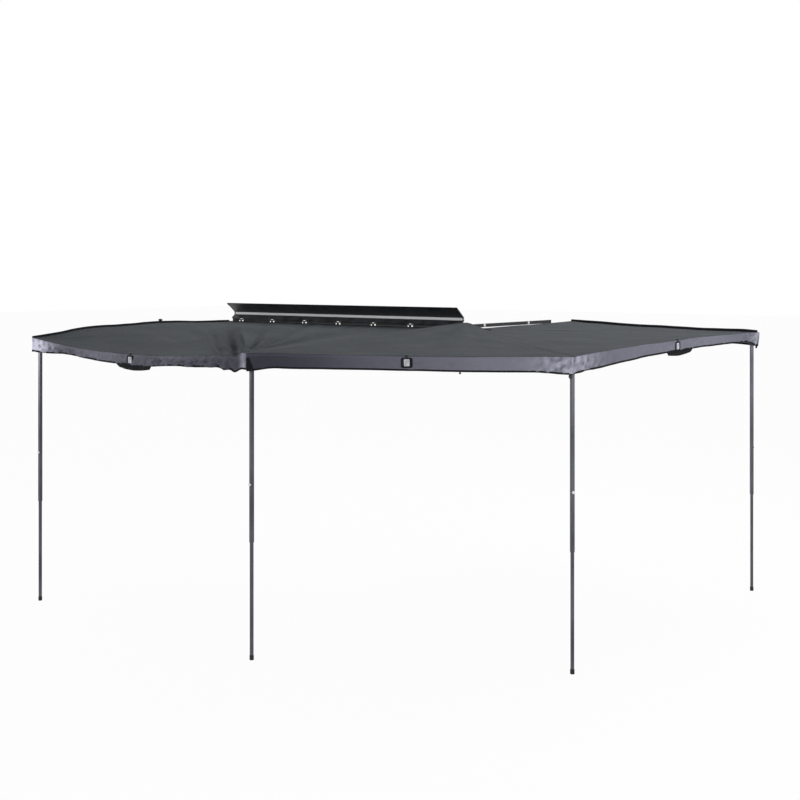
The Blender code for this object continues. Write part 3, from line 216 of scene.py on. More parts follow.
@dataclass(frozen=True)
class PowderCoat(Finish):
    """Baked powder coat on aluminium: a fine orange peel that breaks up its satin reflections."""

    peel_mm: float = 1.6
    worn: str = "#34363a"

    def make(self) -> bpy.types.Material:
        """Build the powder coat."""
        material, tree, shader = self.start()
        place = add_node(tree, "ShaderNodeTexCoord").outputs["Object"]
        dust = self.spread(tree, self.speckle(tree, place, 0.09, 5.0), 0.0, 1.0)
        peel = self.speckle(tree, place, self.peel_mm / 1000.0)
        tree.links.new(self.between(tree, dust, self.colour, self.worn), shader.inputs["Base Color"])
        tree.links.new(self.spread(tree, dust, self.roughness - 0.05, self.roughness + 0.09),
                       shader.inputs["Roughness"])
        bump = add_node(tree, "ShaderNodeBump", {"Height": peel, "Strength": 0.16, "Distance": 0.0004})
        tree.links.new(bump.outputs[0], shader.inputs["Normal"])
        return material


@dataclass(frozen=True)
class DrawnTube(Finish):
    """Anodised square tube: lengthwise die lines give long soft streaks in a satin metal."""

    streak_mm: float = 1.1
    paler: str = "#5c5d66"

    def make(self) -> bpy.types.Material:
        """Build the anodised tube, with its streaks drawn out along Z."""
        material, tree, shader = self.start()
        place = add_node(tree, "ShaderNodeTexCoord").outputs["Object"]
        drawn = add_node(tree, "ShaderNodeMapping", {"Vector": place, "Scale": (1.0, 1.0, 0.012)}).outputs[0]
        streak = self.speckle(tree, drawn, self.streak_mm / 1000.0, 2.0)
        cloud = self.speckle(tree, place, 0.30, 3.0)
        tone = add_node(tree, "ShaderNodeMath", {0: streak, 1: cloud}, operation="MULTIPLY").outputs[0]
        shade = add_node(tree, "ShaderNodeMapRange", {"Value": tone, "From Min": 0.12, "From Max": 0.40}
                         ).outputs[0]
        tree.links.new(self.between(tree, shade, self.colour, self.paler), shader.inputs["Base Color"])
        tree.links.new(self.spread(tree, streak, self.roughness - 0.06, self.roughness + 0.08),
                       shader.inputs["Roughness"])
        bump = add_node(tree, "ShaderNodeBump", {"Height": streak, "Strength": 0.10, "Distance": 0.0002})
        tree.links.new(bump.outputs[0], shader.inputs["Normal"])
        return material


@dataclass(frozen=True)
class BrightMetal(Finish):
    """Bare machined or zinc-plated metal: bright, with fine scratches that soften its highlights."""

    scratch_mm: float = 0.7

    def make(self) -> bpy.types.Material:
        """Build the bare metal."""
        material, tree, shader = self.start()
        place = add_node(tree, "ShaderNodeTexCoord").outputs["Object"]
        scratch = self.speckle(tree, place, self.scratch_mm / 1000.0, 4.0)
        tree.links.new(self.spread(tree, scratch, self.roughness - 0.08, self.roughness + 0.12),
                       shader.inputs["Roughness"])
        bump = add_node(tree, "ShaderNodeBump", {"Height": scratch, "Strength": 0.12, "Distance": 0.0002})
        tree.links.new(bump.outputs[0], shader.inputs["Normal"])
        return material


@dataclass(frozen=True)
class MouldedPart(Finish):
    """Moulded nylon, PVC or rubber: a spark-eroded grain that keeps the surface matt."""

    grain_mm: float = 0.9
    grain_depth: float = 0.25

    def make(self) -> bpy.types.Material:
        """Build the moulded surface."""
        material, tree, shader = self.start()
        place = add_node(tree, "ShaderNodeTexCoord").outputs["Object"]
        grain = self.speckle(tree, place, self.grain_mm / 1000.0)
        tree.links.new(self.spread(tree, self.speckle(tree, place, 0.02), self.roughness - 0.06,
                                   self.roughness + 0.06), shader.inputs["Roughness"])
        bump = add_node(tree, "ShaderNodeBump", {"Height": grain, "Strength": self.grain_depth,
                                                 "Distance": 0.0003})
        tree.links.new(bump.outputs[0], shader.inputs["Normal"])
        return material


@dataclass(frozen=True)
class Woven(Finish):
    """Coated woven cloth. Its threads are drawn 2.4 mm apart: the real 0.5 mm is too fine to show."""

    thread_mm: float = 2.4
    darker: str = "#3b3e41"
    # Colour of painted light: the cloth is painted this paler colour where the pale attribute is set,
    # standing in for light shining through it.
    pale: str = ""
    thread: str = "#74777b"
    stitch_rows_mm: tuple[float, ...] = (6.0, 14.0)
    sheen: float = 0.0
    gloss: float = 0.12

    def make(self) -> bpy.types.Material:
        """Build the cloth from UV coordinates in metres, where V is the distance from its seamed edge."""
        material, tree, shader = self.start()
        shader.inputs["Sheen Weight"].default_value = self.sheen
        shader.inputs["Specular IOR Level"].default_value = self.gloss
        place = add_node(tree, "ShaderNodeTexCoord").outputs["UV"]
        parts = add_node(tree, "ShaderNodeSeparateXYZ", {0: place})
        shade = self.between(tree, self.spread(tree, self.speckle(tree, place, 0.40, 4.0), 0.0, 1.0),
                             self.darker, self.colour)
        # Painted light: the pale attribute mixes in a paler colour for light shining through the cloth.
        if self.pale:
            lit = add_node(tree, "ShaderNodeAttribute", attribute_name="pale").outputs["Fac"]
            shade = add_node(tree, "ShaderNodeMix", {0: lit, 6: shade, 7: linear(self.pale)},
                             data_type="RGBA").outputs[2]
        shade = self.stitched(tree, parts, shade)
        tree.links.new(shade, shader.inputs["Base Color"])
        tree.links.new(self.weave(tree, place), shader.inputs["Normal"])
        return material

    def weave(self, tree: bpy.types.NodeTree, place: bpy.types.NodeSocket) -> bpy.types.NodeSocket:
        """Raise warp and weft threads, over soft handling creases.

        Args:
            tree: Node tree that takes the weave.
            place: Coordinates in metres.

        Returns:
            The surface normal.
        """
        wave_scale = 0.31416 / (self.thread_mm / 1000.0)
        warp, weft = (add_node(tree, "ShaderNodeTexWave", {"Vector": place, "Scale": wave_scale,
                                                           "Distortion": 0.4}, bands_direction=way).outputs[1]
                      for way in ("X", "Y"))
        threads = add_node(tree, "ShaderNodeMath", {0: warp, 1: weft}, operation="ADD").outputs[0]
        fine = add_node(tree, "ShaderNodeBump", {"Height": threads, "Strength": 0.22, "Distance": 0.0004})
        creases = self.speckle(tree, place, 0.075, 4.0)
        return add_node(tree, "ShaderNodeBump", {"Height": creases, "Strength": 0.30, "Distance": 0.006,
                                                 "Normal": fine.outputs[0]}).outputs[0]

    def stitched(self, tree: bpy.types.NodeTree, parts: bpy.types.Node,
                 shade: bpy.types.NodeSocket) -> bpy.types.NodeSocket:
        """Draw rows of lock stitches 4 mm long beside the seamed edge.

        Args:
            tree: Node tree that takes the stitches.
            parts: Separated UV coordinates.
            shade: Colour of the cloth under the thread.

        Returns:
            The colour with its stitches.
        """
        pitch = add_node(tree, "ShaderNodeMath", {0: parts.outputs[0], 1: 250.0}, operation="MULTIPLY")
        along = add_node(tree, "ShaderNodeMath", {0: pitch.outputs[0]}, operation="FRACT")
        dash = add_node(tree, "ShaderNodeMath", {0: along.outputs[0], 1: 0.4, 2: 0.33}, operation="COMPARE")
        for row in self.stitch_rows_mm:
            on_row = add_node(tree, "ShaderNodeMath", {0: parts.outputs[1], 1: row / 1000.0, 2: 0.0006},
                              operation="COMPARE")
            mask = add_node(tree, "ShaderNodeMath", {0: on_row.outputs[0], 1: dash.outputs[0]},
                            operation="MULTIPLY")
            shade = add_node(tree, "ShaderNodeMix", {0: mask.outputs[0], 6: shade, 7: linear(self.thread)},
                             data_type="RGBA").outputs[2]
        return shade


@dataclass(frozen=True)
class StudioFloor(Finish):
    """Matt white studio paper. Camera and mirror rays also get some of its own light, so it stays pale."""

    own_light: float = 0.96

    def make(self) -> bpy.types.Material:
        """Build the paper."""
        material, tree, shader = self.start()
        rays = add_node(tree, "ShaderNodeLightPath")
        seen = add_node(tree, "ShaderNodeMath", {0: rays.outputs["Is Camera Ray"],
                                                 1: rays.outputs["Is Glossy Ray"]}, operation="MAXIMUM")
        share = add_node(tree, "ShaderNodeMath", {0: seen.outputs[0], 1: self.own_light},
                         operation="MULTIPLY")
        glow = add_node(tree, "ShaderNodeEmission", {"Color": (1.0, 1.0, 1.0, 1.0), "Strength": 1.0})
        mixed = add_node(tree, "ShaderNodeMixShader", {0: share.outputs[0], 1: shader.outputs[0],
                                                       2: glow.outputs[0]})
        tree.links.new(mixed.outputs[0], tree.nodes["Material Output"].inputs["Surface"])
        return material


class Finishes:
    """All finishes of the awning, each made once."""

    def __init__(self) -> None:
        """Make every material."""
        self.powder_coat = PowderCoat("powder_coated_aluminium", "#121315", 0.44).make()
        self.tube = DrawnTube("anodised_aluminium_tube", "#3c3d43", 0.38, 0.75).make()
        self.machined = BrightMetal("machined_aluminium", "#c9cbcd", 0.30, 1.0).make()
        self.zinc = BrightMetal("zinc_plated_steel", "#aeb0b2", 0.34, 1.0).make()
        self.nylon = MouldedPart("glass_filled_nylon", "#1b1b1d", 0.55).make()
        self.white_nylon = MouldedPart("white_nylon", "#f1f1ee", 0.45, grain_depth=0.08).make()
        self.trim = MouldedPart("light_grey_pvc_trim", "#e6e7e8", 0.38, grain_depth=0.06).make()
        self.rubber = MouldedPart("moulded_rubber", "#141414", 0.78, grain_mm=1.4).make()
        self.canvas = Woven("coated_polycotton_canvas", "#494d51", 0.80, darker="#3e4246", thread="#5a5d61"
                            ).make()
        # The valance's pale colour is painted light, for light shining through the cloth, strongest on its
        # crumples.
        self.valance = Woven("coated_polyester_valance", "#3f3f4c", 0.66, darker="#30303b", pale="#cfcfe2",
                             thread="#77778c", gloss=0.30).make()
        self.webbing = Woven("black_polyester_webbing", "#222226", 0.82, thread_mm=3.2, darker="#17171a",
                             thread="#3c3c42", stitch_rows_mm=(3.0,)).make()
        self.label = Woven("blank_woven_patch", "#e4e4ea", 0.70, thread_mm=1.8, darker="#cfcfd8",
                           thread="#a9a9b2", stitch_rows_mm=(2.0,)).make()
        self.floor = StudioFloor("white_studio_paper", "#f4f4f4", 0.9).make()


def mesh_piece(name: str, vertices: Sequence[Vector], faces: Sequence[Sequence[int]],
               material: bpy.types.Material, smooth: bool = True) -> bpy.types.Object:
    """Make an object of plain vertices and faces.

    Args:
        name: Piece name.
        vertices: Points in the part's frame.
        faces: Vertex numbers of each face.
        material: Finish of the whole piece.
        smooth: Whether it is shaded smooth up to 40 degrees.

    Returns:
        The object, linked to the scene.
    """
    mesh = bpy.data.meshes.new(name)
    mesh.from_pydata([tuple(vertex) for vertex in vertices], [], [tuple(face) for face in faces])
    mesh.materials.append(material)
    if smooth:
        mesh.shade_smooth()
        mesh.set_sharp_from_angle(angle=math.radians(40.0))
    piece = bpy.data.objects.new(name, mesh)
    bpy.context.scene.collection.objects.link(piece)
    return piece


def grid_faces(row_count: int, column_count: int) -> list[tuple[int, int, int, int]]:
    """Vertex numbers of the quads of a grid stored row by row."""
    return [(row * column_count + column, row * column_count + column + 1,
             (row + 1) * column_count + column + 1, (row + 1) * column_count + column)
            for row in range(row_count - 1) for column in range(column_count - 1)]


def cloth_piece(name: str, rows: Rows, material: bpy.types.Material, facing: Vector, thickness: float,
                seamed_row: int, pale: list[float] | None = None) -> bpy.types.Object:
    """Make a sheet of cloth from rows of points, with UVs in metres.

    Args:
        name: Piece name.
        rows: Rows of points. All rows have the same number of points.
        material: Finish of the cloth.
        facing: Direction that the cloth's outside faces.
        thickness: Thickness of the cloth, laid on its inside.
        seamed_row: The row, 0 or -1, from which V is measured.
        pale: How much painted light each point takes, row by row, from 0 to 1: a paler colour for light
            shining through the cloth.

    Returns:
        The sheet with a Solidify modifier.
    """
    points = [point for row in rows for point in row]
    faces = grid_faces(len(rows), len(rows[0]))
    one, two, _, four = (points[number] for number in faces[len(faces) // 2])
    if (two - one).cross(four - one).dot(facing) < 0.0:
        faces = [face[::-1] for face in faces]
    piece = mesh_piece(name, points, faces, material)
    if seamed_row == -1:
        rows = rows[::-1]
    across = [[0.0] * len(rows[0])]
    for before, row in zip(rows, rows[1:]):
        across.append([gone + (point - last).length for gone, last, point in zip(across[-1], before, row)])
    run = [0.0]
    widest = rows[0]
    for last, point in zip(widest, widest[1:]):
        run.append(run[-1] + (point - last).length)
    if seamed_row == -1:
        across = across[::-1]
    flat = [(run[column], distance) for row in across for column, distance in enumerate(row)]
    layer = piece.data.uv_layers.new(name="metres")
    for loop in piece.data.loops:
        layer.data[loop.index].uv = flat[loop.vertex_index]
    # The painted light for light shining through the cloth goes on as the pale point attribute.
    if pale is not None:
        attribute = piece.data.attributes.new("pale", "FLOAT", "POINT")
        attribute.data.foreach_set("value", pale)
    shell = piece.modifiers.new("cloth thickness", "SOLIDIFY")
    shell.thickness = thickness
    shell.offset = -1.0
    return piece


def cloth_area(piece: bpy.types.Object) -> float:
    """Area of one side of a sheet, in square metres."""
    return sum(polygon.area for polygon in piece.data.polygons)


def swept_piece(name: str, path: Sequence[Vector], section: Sequence[tuple[float, float]], up: Vector,
                material: bpy.types.Material) -> bpy.types.Object:
    """Sweep a closed section along a path, with flat ends.

    Args:
        name: Piece name.
        path: Points of the path.
        section: Points (sideways, up) round the section.
        up: Direction that the section's second number leans to.
        material: Finish of the piece.

    Returns:
        The swept solid.
    """
    vertices: list[Vector] = []
    for number, point in enumerate(path):
        run = (path[min(number + 1, len(path) - 1)] - path[max(number - 1, 0)]).normalized()
        sideways = run.cross(up).normalized()
        lift = sideways.cross(run)
        vertices += [point + sideways * x + lift * y for x, y in section]
    count = len(section)
    faces: list[tuple[int, ...]] = []
    for ring in range(len(path) - 1):
        for place in range(count):
            following = (place + 1) % count
            faces.append((ring * count + place, ring * count + following,
                          (ring + 1) * count + following, (ring + 1) * count + place))
    faces.append(tuple(range(count))[::-1])
    faces.append(tuple(range((len(path) - 1) * count, len(path) * count)))
    return mesh_piece(name, vertices, faces, material)


def turned_piece(name: str, profile: Sequence[tuple[float, float]], base: Vector, along: Vector,
                 material: bpy.types.Material, count: int = 28) -> bpy.types.Object:
    """Turn a profile round an axis.

    Args:
        name: Piece name.
        profile: Points (radius, height) from the base up.
        base: Foot of the axis.
        along: Direction of the axis.
        material: Finish of the piece.
        count: Number of facets round the axis.

    Returns:
        The turned solid.
    """
    frame = along.to_track_quat("Z", "Y").to_matrix().to_4x4()
    frame.translation = base
    vertices = [frame @ Vector((radius * math.cos(math.tau * step / count),
                                radius * math.sin(math.tau * step / count), height))
                for radius, height in profile for step in range(count)]
    faces: list[tuple[int, ...]] = []
    for ring in range(len(profile) - 1):
        for step in range(count):
            following = (step + 1) % count
            faces.append((ring * count + step, ring * count + following,
                          (ring + 1) * count + following, (ring + 1) * count + step))
    faces.append(tuple(range(count))[::-1])
    faces.append(tuple(range((len(profile) - 1) * count, len(profile) * count)))
    return mesh_piece(name, vertices, faces, material)


def plate_piece(name: str, centre: Vector, right: Vector, up: Vector, size: tuple[float, float],
                corner: float, thickness: float, material: bpy.types.Material) -> bpy.types.Object:
    """Make a thin plate with rounded corners and a rounded rim, and UVs in metres.

    Args:
        name: Piece name.
        centre: Middle of the plate's back.
        right: Direction of its width.
        up: Direction of its height.
        size: Width and height.
        corner: Radius of its corners.
        thickness: How far it stands out.
        material: Finish of the plate.

    Returns:
        The plate.
    """
    out = right.cross(up).normalized()
    half_width, half_height = size[0] / 2, size[1] / 2
    outline = []
    for quarter in range(4):
        x = (half_width - corner) * (1 if quarter in (0, 3) else -1)
        y = (half_height - corner) * (1 if quarter in (0, 1) else -1)
        for step in range(6):
            angle = math.pi / 2 * (quarter + step / 5)
            outline.append((x + corner * math.cos(angle), y + corner * math.sin(angle)))
    rim = thickness * 0.5
    vertices: list[Vector] = []
    flat: list[tuple[float, float]] = []
    for shrink, lift in ((0.0, 0.0), (0.0, thickness - rim), (rim, thickness)):
        for x, y in outline:
            x_in = x * (1 - shrink / half_width)
            y_in = y * (1 - shrink / half_height)
            vertices.append(centre + right * x_in + up * y_in + out * lift)
            flat.append((x_in + half_width, half_height - abs(y_in)))
    count = len(outline)
    faces: list[tuple[int, ...]] = []
    for ring in range(2):
        for place in range(count):
            following = (place + 1) % count
            faces.append((ring * count + place, ring * count + following,
                          (ring + 1) * count + following, (ring + 1) * count + place))
    faces.append(tuple(range(count))[::-1])
    faces.append(tuple(range(2 * count, 3 * count)))
    piece = mesh_piece(name, vertices, faces, material)
    layer = piece.data.uv_layers.new(name="metres")
    for loop in piece.data.loops:
        layer.data[loop.index].uv = flat[loop.vertex_index]
    return piece


@dataclass(frozen=True)
class CanopyShape:
    """Where the stretched cloth lies: straight arm lines, a ridge over the hub, sags, folds and gathers."""

    hub: Point = (1.285, -0.036, 0.0375)
    case_edge_front_x: float = -1.236
    case_edge_y: float = -0.0034
    case_edge_z: float = 0.0375
    ridge_rise: float = 0.051
    ridge_width_front: float = 0.034
    ridge_width_hub: float = 0.100
    ridge_width_rear: float = 0.34
    front_bump: float = 0.036
    front_bulge: float = 0.034
    front_arm_pivot: tuple[float, float] = (-1.257, -0.095)
    front_arm_tip: tuple[float, float] = (-0.947, -2.180)
    front_edge_ahead: float = 0.0185
    front_valance_start: float = 0.130
    rear_arm_keep_x: float = 1.3085
    sags: dict[Corner, float] = field(default_factory=lambda: {
        Corner.SIDE: 0.064, Corner.REAR_SIDE: 0.008, Corner.REAR: -0.020, Corner.INNER: 0.010})
    # Corner, number of gathers around it, their height and how far they reach.
    tension: tuple[tuple[Corner, float, float, float], ...] = (
        (Corner.FRONT, 24.0, 0.0050, 0.42), (Corner.SIDE, 24.0, 0.0060, 0.60),
        (Corner.REAR_SIDE, 21.0, 0.0050, 0.40), (Corner.REAR, 19.0, 0.0040, 0.36),
        (Corner.INNER, 13.0, 0.0040, 0.30))
    slack_height: float = 0.0045
    fold_height: float = 0.0210
    fold_direction: float = 2.22
    fold_spread: float = 0.30
    fold_full_from: float = 0.9
    fold_end: float = 3.1
    crease_start: float = 0.06
    crease_reach: float = 0.915
    crease_curve: float = 1.2
    crease_width: float = 0.036
    crease_narrowing: float = 0.020
    # Height of each wave of the crease, and its place in crease widths from the middle.
    crease_waves: tuple[tuple[float, float], ...] = ((-0.040, -1.0), (0.042, 0.8), (-0.018, -4.2),
                                                     (0.012, -6.0))

    def ridge(self, x: float, y: float) -> float:
        """Height that the fold over the hub and down to the side corner adds.

        Args:
            x: Place along the case.
            y: Place across the vehicle.

        Returns:
            Added height in metres.
        """
        start = Vector(self.hub[:2])
        run = Corner.SIDE.point.xy - start
        length = run.length
        run.normalize()
        offset = Vector((x, y)) - start
        along = offset.dot(run)
        sideways = offset.x * run.y - offset.y * run.x
        fade = max(0.0, 1.0 - max(along, 0.0) / length)
        if offset.x < 0.0 and sideways > 0.0:
            width = self.ridge_width_front + 0.16 * max(along, 0.0)
            spread = math.exp(-(sideways / width) ** 2)
            if along < 0.0:
                spread *= math.exp(-(along / 0.05) ** 2)
            return self.ridge_rise * fade * spread
        open_out = min(1.0, max(along, 0.0) / 0.55)
        width = self.ridge_width_hub + (self.ridge_width_rear - self.ridge_width_hub) * open_out
        distance = abs(sideways) if along > 0.0 else offset.length
        return self.ridge_rise * fade * math.exp(-(distance / width) ** 2)

    def gathers(self, x: float, y: float) -> float:
        """Small folds that fan out from each tensioned corner and from the hub.

        Args:
            x: Place along the case.
            y: Place across the vehicle.

        Returns:
            Added height in metres.
        """
        height = 0.0
        for corner, count, depth, reach in self.tension:
            offset = Vector((x, y)) - corner.point.xy
            radius = offset.length
            angle = math.atan2(offset.y, offset.x)
            irregular = noise.noise(Vector((3.0 * math.cos(angle), 3.0 * math.sin(angle), corner.value[0])))
            wave = math.sin(count * angle + 5.0 * irregular)
            height += (depth * wave * abs(wave) ** 0.5 * min(1.0, radius / 0.14)
                       * math.exp(-(radius / reach) ** 2) * (0.6 + irregular))
            if corner is Corner.SIDE:
                height += self.fan_of_folds(angle, radius, irregular)
        slack = noise.noise(Vector((x * 2.1, y * 2.1, 0.3)))
        slack += 0.5 * noise.noise(Vector((x * 5.3, y * 5.3, 4.1)))
        return height + self.slack_height * slack

    def fan_of_folds(self, angle: float, radius: float, irregular: float) -> float:
        """Pulled folds of the front panel, which run from the side corner to the case.

        Args:
            angle: Direction from the side corner, in radians.
            radius: Distance from the side corner.
            irregular: Noise that makes the folds uneven.

        Returns:
            Added height in metres.
        """
        wave = math.sin(58.0 * angle + 9.0 * irregular) + 0.5 * math.sin(97.0 * angle + 4.0 * irregular)
        window = math.exp(-((angle - self.fold_direction) / self.fold_spread) ** 2)
        return (self.fold_height * wave * window * min(1.0, radius / self.fold_full_from)
                * max(0.0, 1.0 - radius / self.fold_end))

    def crease(self, u: float, v: float) -> float:
        """The long crease of the front panel from the side corner to the case's front end.

        Args:
            u: Share of the way out from the case.
            v: Share of the way aft from the front edge.

        Returns:
            Added height in metres.
        """
        middle = self.crease_start + self.crease_reach * u ** self.crease_curve
        wide = self.crease_width - self.crease_narrowing * u
        waves = sum(height * math.exp(-((v - middle - place * wide) / wide) ** 2)
                    for height, place in self.crease_waves)
        away_from_case = min(1.0, (u / 0.70) ** 2)
        before_hem = min(1.0, 0.45 + 5.0 * (1.0 - u))
        before_arm = min(1.0, 20.0 * (1.0 - v))
        return waves * (away_from_case * before_hem * before_arm)

    def front_edge(self, share: float) -> Vector:
        """A point of the front edge, from the case at 0 to the front corner at 1."""
        start = Vector((self.case_edge_front_x, self.case_edge_y, self.case_edge_z + 0.001))
        point = start.lerp(Corner.FRONT.point, share)
        pivot, tip = Vector(self.front_arm_pivot), Vector(self.front_arm_tip)
        level_with = max(0.0, (pivot.y - point.y) / (pivot.y - tip.y))
        blend = min(1.0, share / self.front_valance_start)
        ahead = pivot.lerp(tip, level_with).x - self.front_edge_ahead
        point.x = point.x * (1.0 - blend) + min(point.x, ahead) * blend
        bump = math.exp(-((share - 0.39) / 0.24) ** 2) * abs(math.sin(math.pi * share)) ** 0.5
        point.z += self.front_bump * bump
        point.z += self.front_bulge * math.exp(-((share - 0.74) / 0.17) ** 2) * min(1.0, 6.0 * (1.0 - share))
        return point

    def case_edge(self, share: float) -> Vector:
        """A point of the edge that slides into the case's track, from its front end to the hub."""
        hub = Vector(self.hub)
        x = self.case_edge_front_x + (hub.x - self.case_edge_front_x) * share
        blend = max(0.0, (x - 1.20) / (hub.x - 1.20))
        return Vector((x, self.case_edge_y + (hub.y - self.case_edge_y) * blend ** 2, self.case_edge_z))

    def front_panel(self, u: float, v: float) -> Vector:
        """A point of the front panel.

        Args:
            u: Share of the way out from the case.
            v: Share of the way aft from the front edge to the side arm.

        Returns:
            The point on the cloth's top.
        """
        hub, front, side = Vector(self.hub), Corner.FRONT.point, Corner.SIDE.point
        corners = ((1 - u) * (1 - v) * self.front_edge(0.0) + (1 - u) * v * hub
                   + u * (1 - v) * front + u * v * side)
        point = ((1 - u) * self.case_edge(v) + u * front.lerp(side, v) + (1 - v) * self.front_edge(u)
                 + v * hub.lerp(side, u) - corners)
        point.z -= self.sags[Corner.SIDE] * 4 * v * (1 - v) * u ** 1.5
        at_case = min(1.0, 8.0 * u)
        point.z += self.ridge(point.x, point.y) + self.crease(u, v) * at_case
        point.z += self.gathers(point.x, point.y) * at_case
        return point

    def fan_panel(self, first: Corner, second: Corner, u: float, v: float) -> Vector:
        """A point of a panel between two of the hub's arms.

        Args:
            first: Corner on the panel's first arm.
            second: Corner on its second arm.
            u: Share of the way out from the hub.
            v: Share of the way from the first arm to the second.

        Returns:
            The point on the cloth's top.
        """
        hub = Vector(self.hub)
        point = hub + u * ((1 - v) * (first.point - hub) + v * (second.point - hub))
        point.z -= self.sags[second] * 4 * v * (1 - v) * u * u
        point.z += self.ridge(point.x, point.y) + self.gathers(point.x, point.y) * min(1.0, 5.0 * u)
        if second is Corner.INNER and point.y > hub.y and point.x < self.rear_arm_keep_x:
            share = min(1.0, (point.y - hub.y) / 0.05) * min(1.0, 3.0 * v)
            point.x += (self.rear_arm_keep_x - point.x) * share
        return point


@dataclass(frozen=True)
class Folding:
    """How the cloth of one arm travels: the body it rides on, and the arm's level side direction and anchor.
    """

    body: str
    side: Vector
    anchor: Vector
    joint: str = "arm_2_swing"
    keep: float = 0.008

    def carry(self, piece: bpy.types.Object) -> None:
        """Let a piece of cloth ride on the arm's body, with a mesh of its own."""
        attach(piece, self.body)
        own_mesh(piece)


def foldings(joints: list[dict]) -> dict[str, Folding]:
    """Read each arm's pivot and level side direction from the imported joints.

    Args:
        joints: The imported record's joints.

    Returns:
        Folding of each arm's cloth, by the arm's body name.
    """
    by_name = {joint["name"]: joint for joint in joints}
    found = {}
    for body, leg, shift in (("arm_2", "leg_2", 0.030), ("arm_3", "leg_3", 0.010),
                             ("arm_4", "leg_4", -0.012)):
        side = Vector(by_name[leg + "_fold"]["axis"])
        side.z = 0.0
        side.normalize()
        found[body] = Folding(body, side, Vector(by_name[body + "_swing"]["pos_m"]) + side * shift)
    return found


@dataclass
class Edge:
    """One outer edge of the canopy and the valance that hangs from it."""

    name: str
    top: Callable[[float], Vector]
    outward: Vector
    folding: Folding
    drops: tuple[tuple[float, float], ...] = ((0.0, 0.100), (0.15, 0.093), (0.5, 0.090), (0.85, 0.093),
                                              (1.0, 0.100))
    start: float = 0.0
    tucks: tuple[float, float] = (0.0, 0.0)
    crumples: tuple[tuple[float, float, float], ...] = ()
    # Soft spots (place, width, strength) of painted light: a paler colour for light shining through the
    # valance.
    painted_light_spots: tuple[tuple[float, float, float], ...] = ()
    columns: int = 96
    levels: int = 9

    def swell(self, v: float, spots: Sequence[tuple[float, float, float]]) -> float:
        """Sum of soft spots (place, width, strength) along the edge."""
        return sum(strength * math.exp(-((v - place) / width) ** 2) for place, width, strength in spots)

    def length(self, v: float) -> float:
        """Drop of the valance at a share of the edge, eased between its measured places."""
        place = min(1.0, max(0.0, v))
        for (low, first), (high, second) in zip(self.drops, self.drops[1:]):
            if place <= high:
                share = (place - low) / (high - low)
                return first + (second - first) * share * share * (3.0 - 2.0 * share)
        return self.drops[-1][1]

    def tuck(self, v: float, share: float) -> float:
        """How far the hem is drawn in towards the leg at a corner."""
        run = (self.top(1.0) - self.top(0.0)).length
        near, far = (math.exp(-((place * run) / 0.060) ** 2) for place in (v, 1.0 - v))
        return (self.tucks[0] * near + self.tucks[1] * far) * share ** 1.5

    def hang(self, v: float, share: float) -> Vector:
        """A point of the hanging valance.

        Args:
            v: Share of the way along the edge.
            share: Share of the way down, from 0 at the seam to 1 at the hem.

        Returns:
            The point on the valance's outside.
        """
        steady = min(1.0, 14.0 * (v - self.start), 14.0 * (1.0 - v))
        wave = math.sin(19.0 * v + 1.0) + 0.6 * math.sin(43.0 * v + 2.0)
        rough = noise.noise(Vector((v * 34.0, share * 2.2, 1.7))) + 0.6 * noise.noise(
            Vector((v * 80.0, share * 4.5, 6.2)))
        out = 0.0016 * wave * share + self.swell(v, self.crumples) * rough * min(1.0, 2.0 * share)
        out = out * steady - self.tuck(v, share)
        return self.top(v) + self.outward * out - UP * self.length(v) * share

    def rows(self) -> tuple[Rows, list[float]]:
        """Points of the valance from seam to hem, and how much painted light, for light shining through the
        cloth, each of them takes.
        """
        rows: Rows = []
        pale: list[float] = []
        for level in range(self.levels + 1):
            share = level / self.levels
            row = []
            for column in range(self.columns + 1):
                v = self.start + (1.0 - self.start) * column / self.columns
                row.append(self.hang(v, share))
                # Painted light, broken up by noise and strongest on the crumples.
                light = noise.noise(Vector((v * 70.0, share * 3.0, 9.0)))
                light += 0.6 * noise.noise(Vector((v * 160.0, share * 7.0, 3.0)))
                rough = min(1.0, 60.0 * self.swell(v, self.crumples))
                pale.append(max(0.0, min(1.0, self.swell(v, self.painted_light_spots) * (1.0 + 1.1 * rough * light))))
            rows.append(row)
        return rows, pale


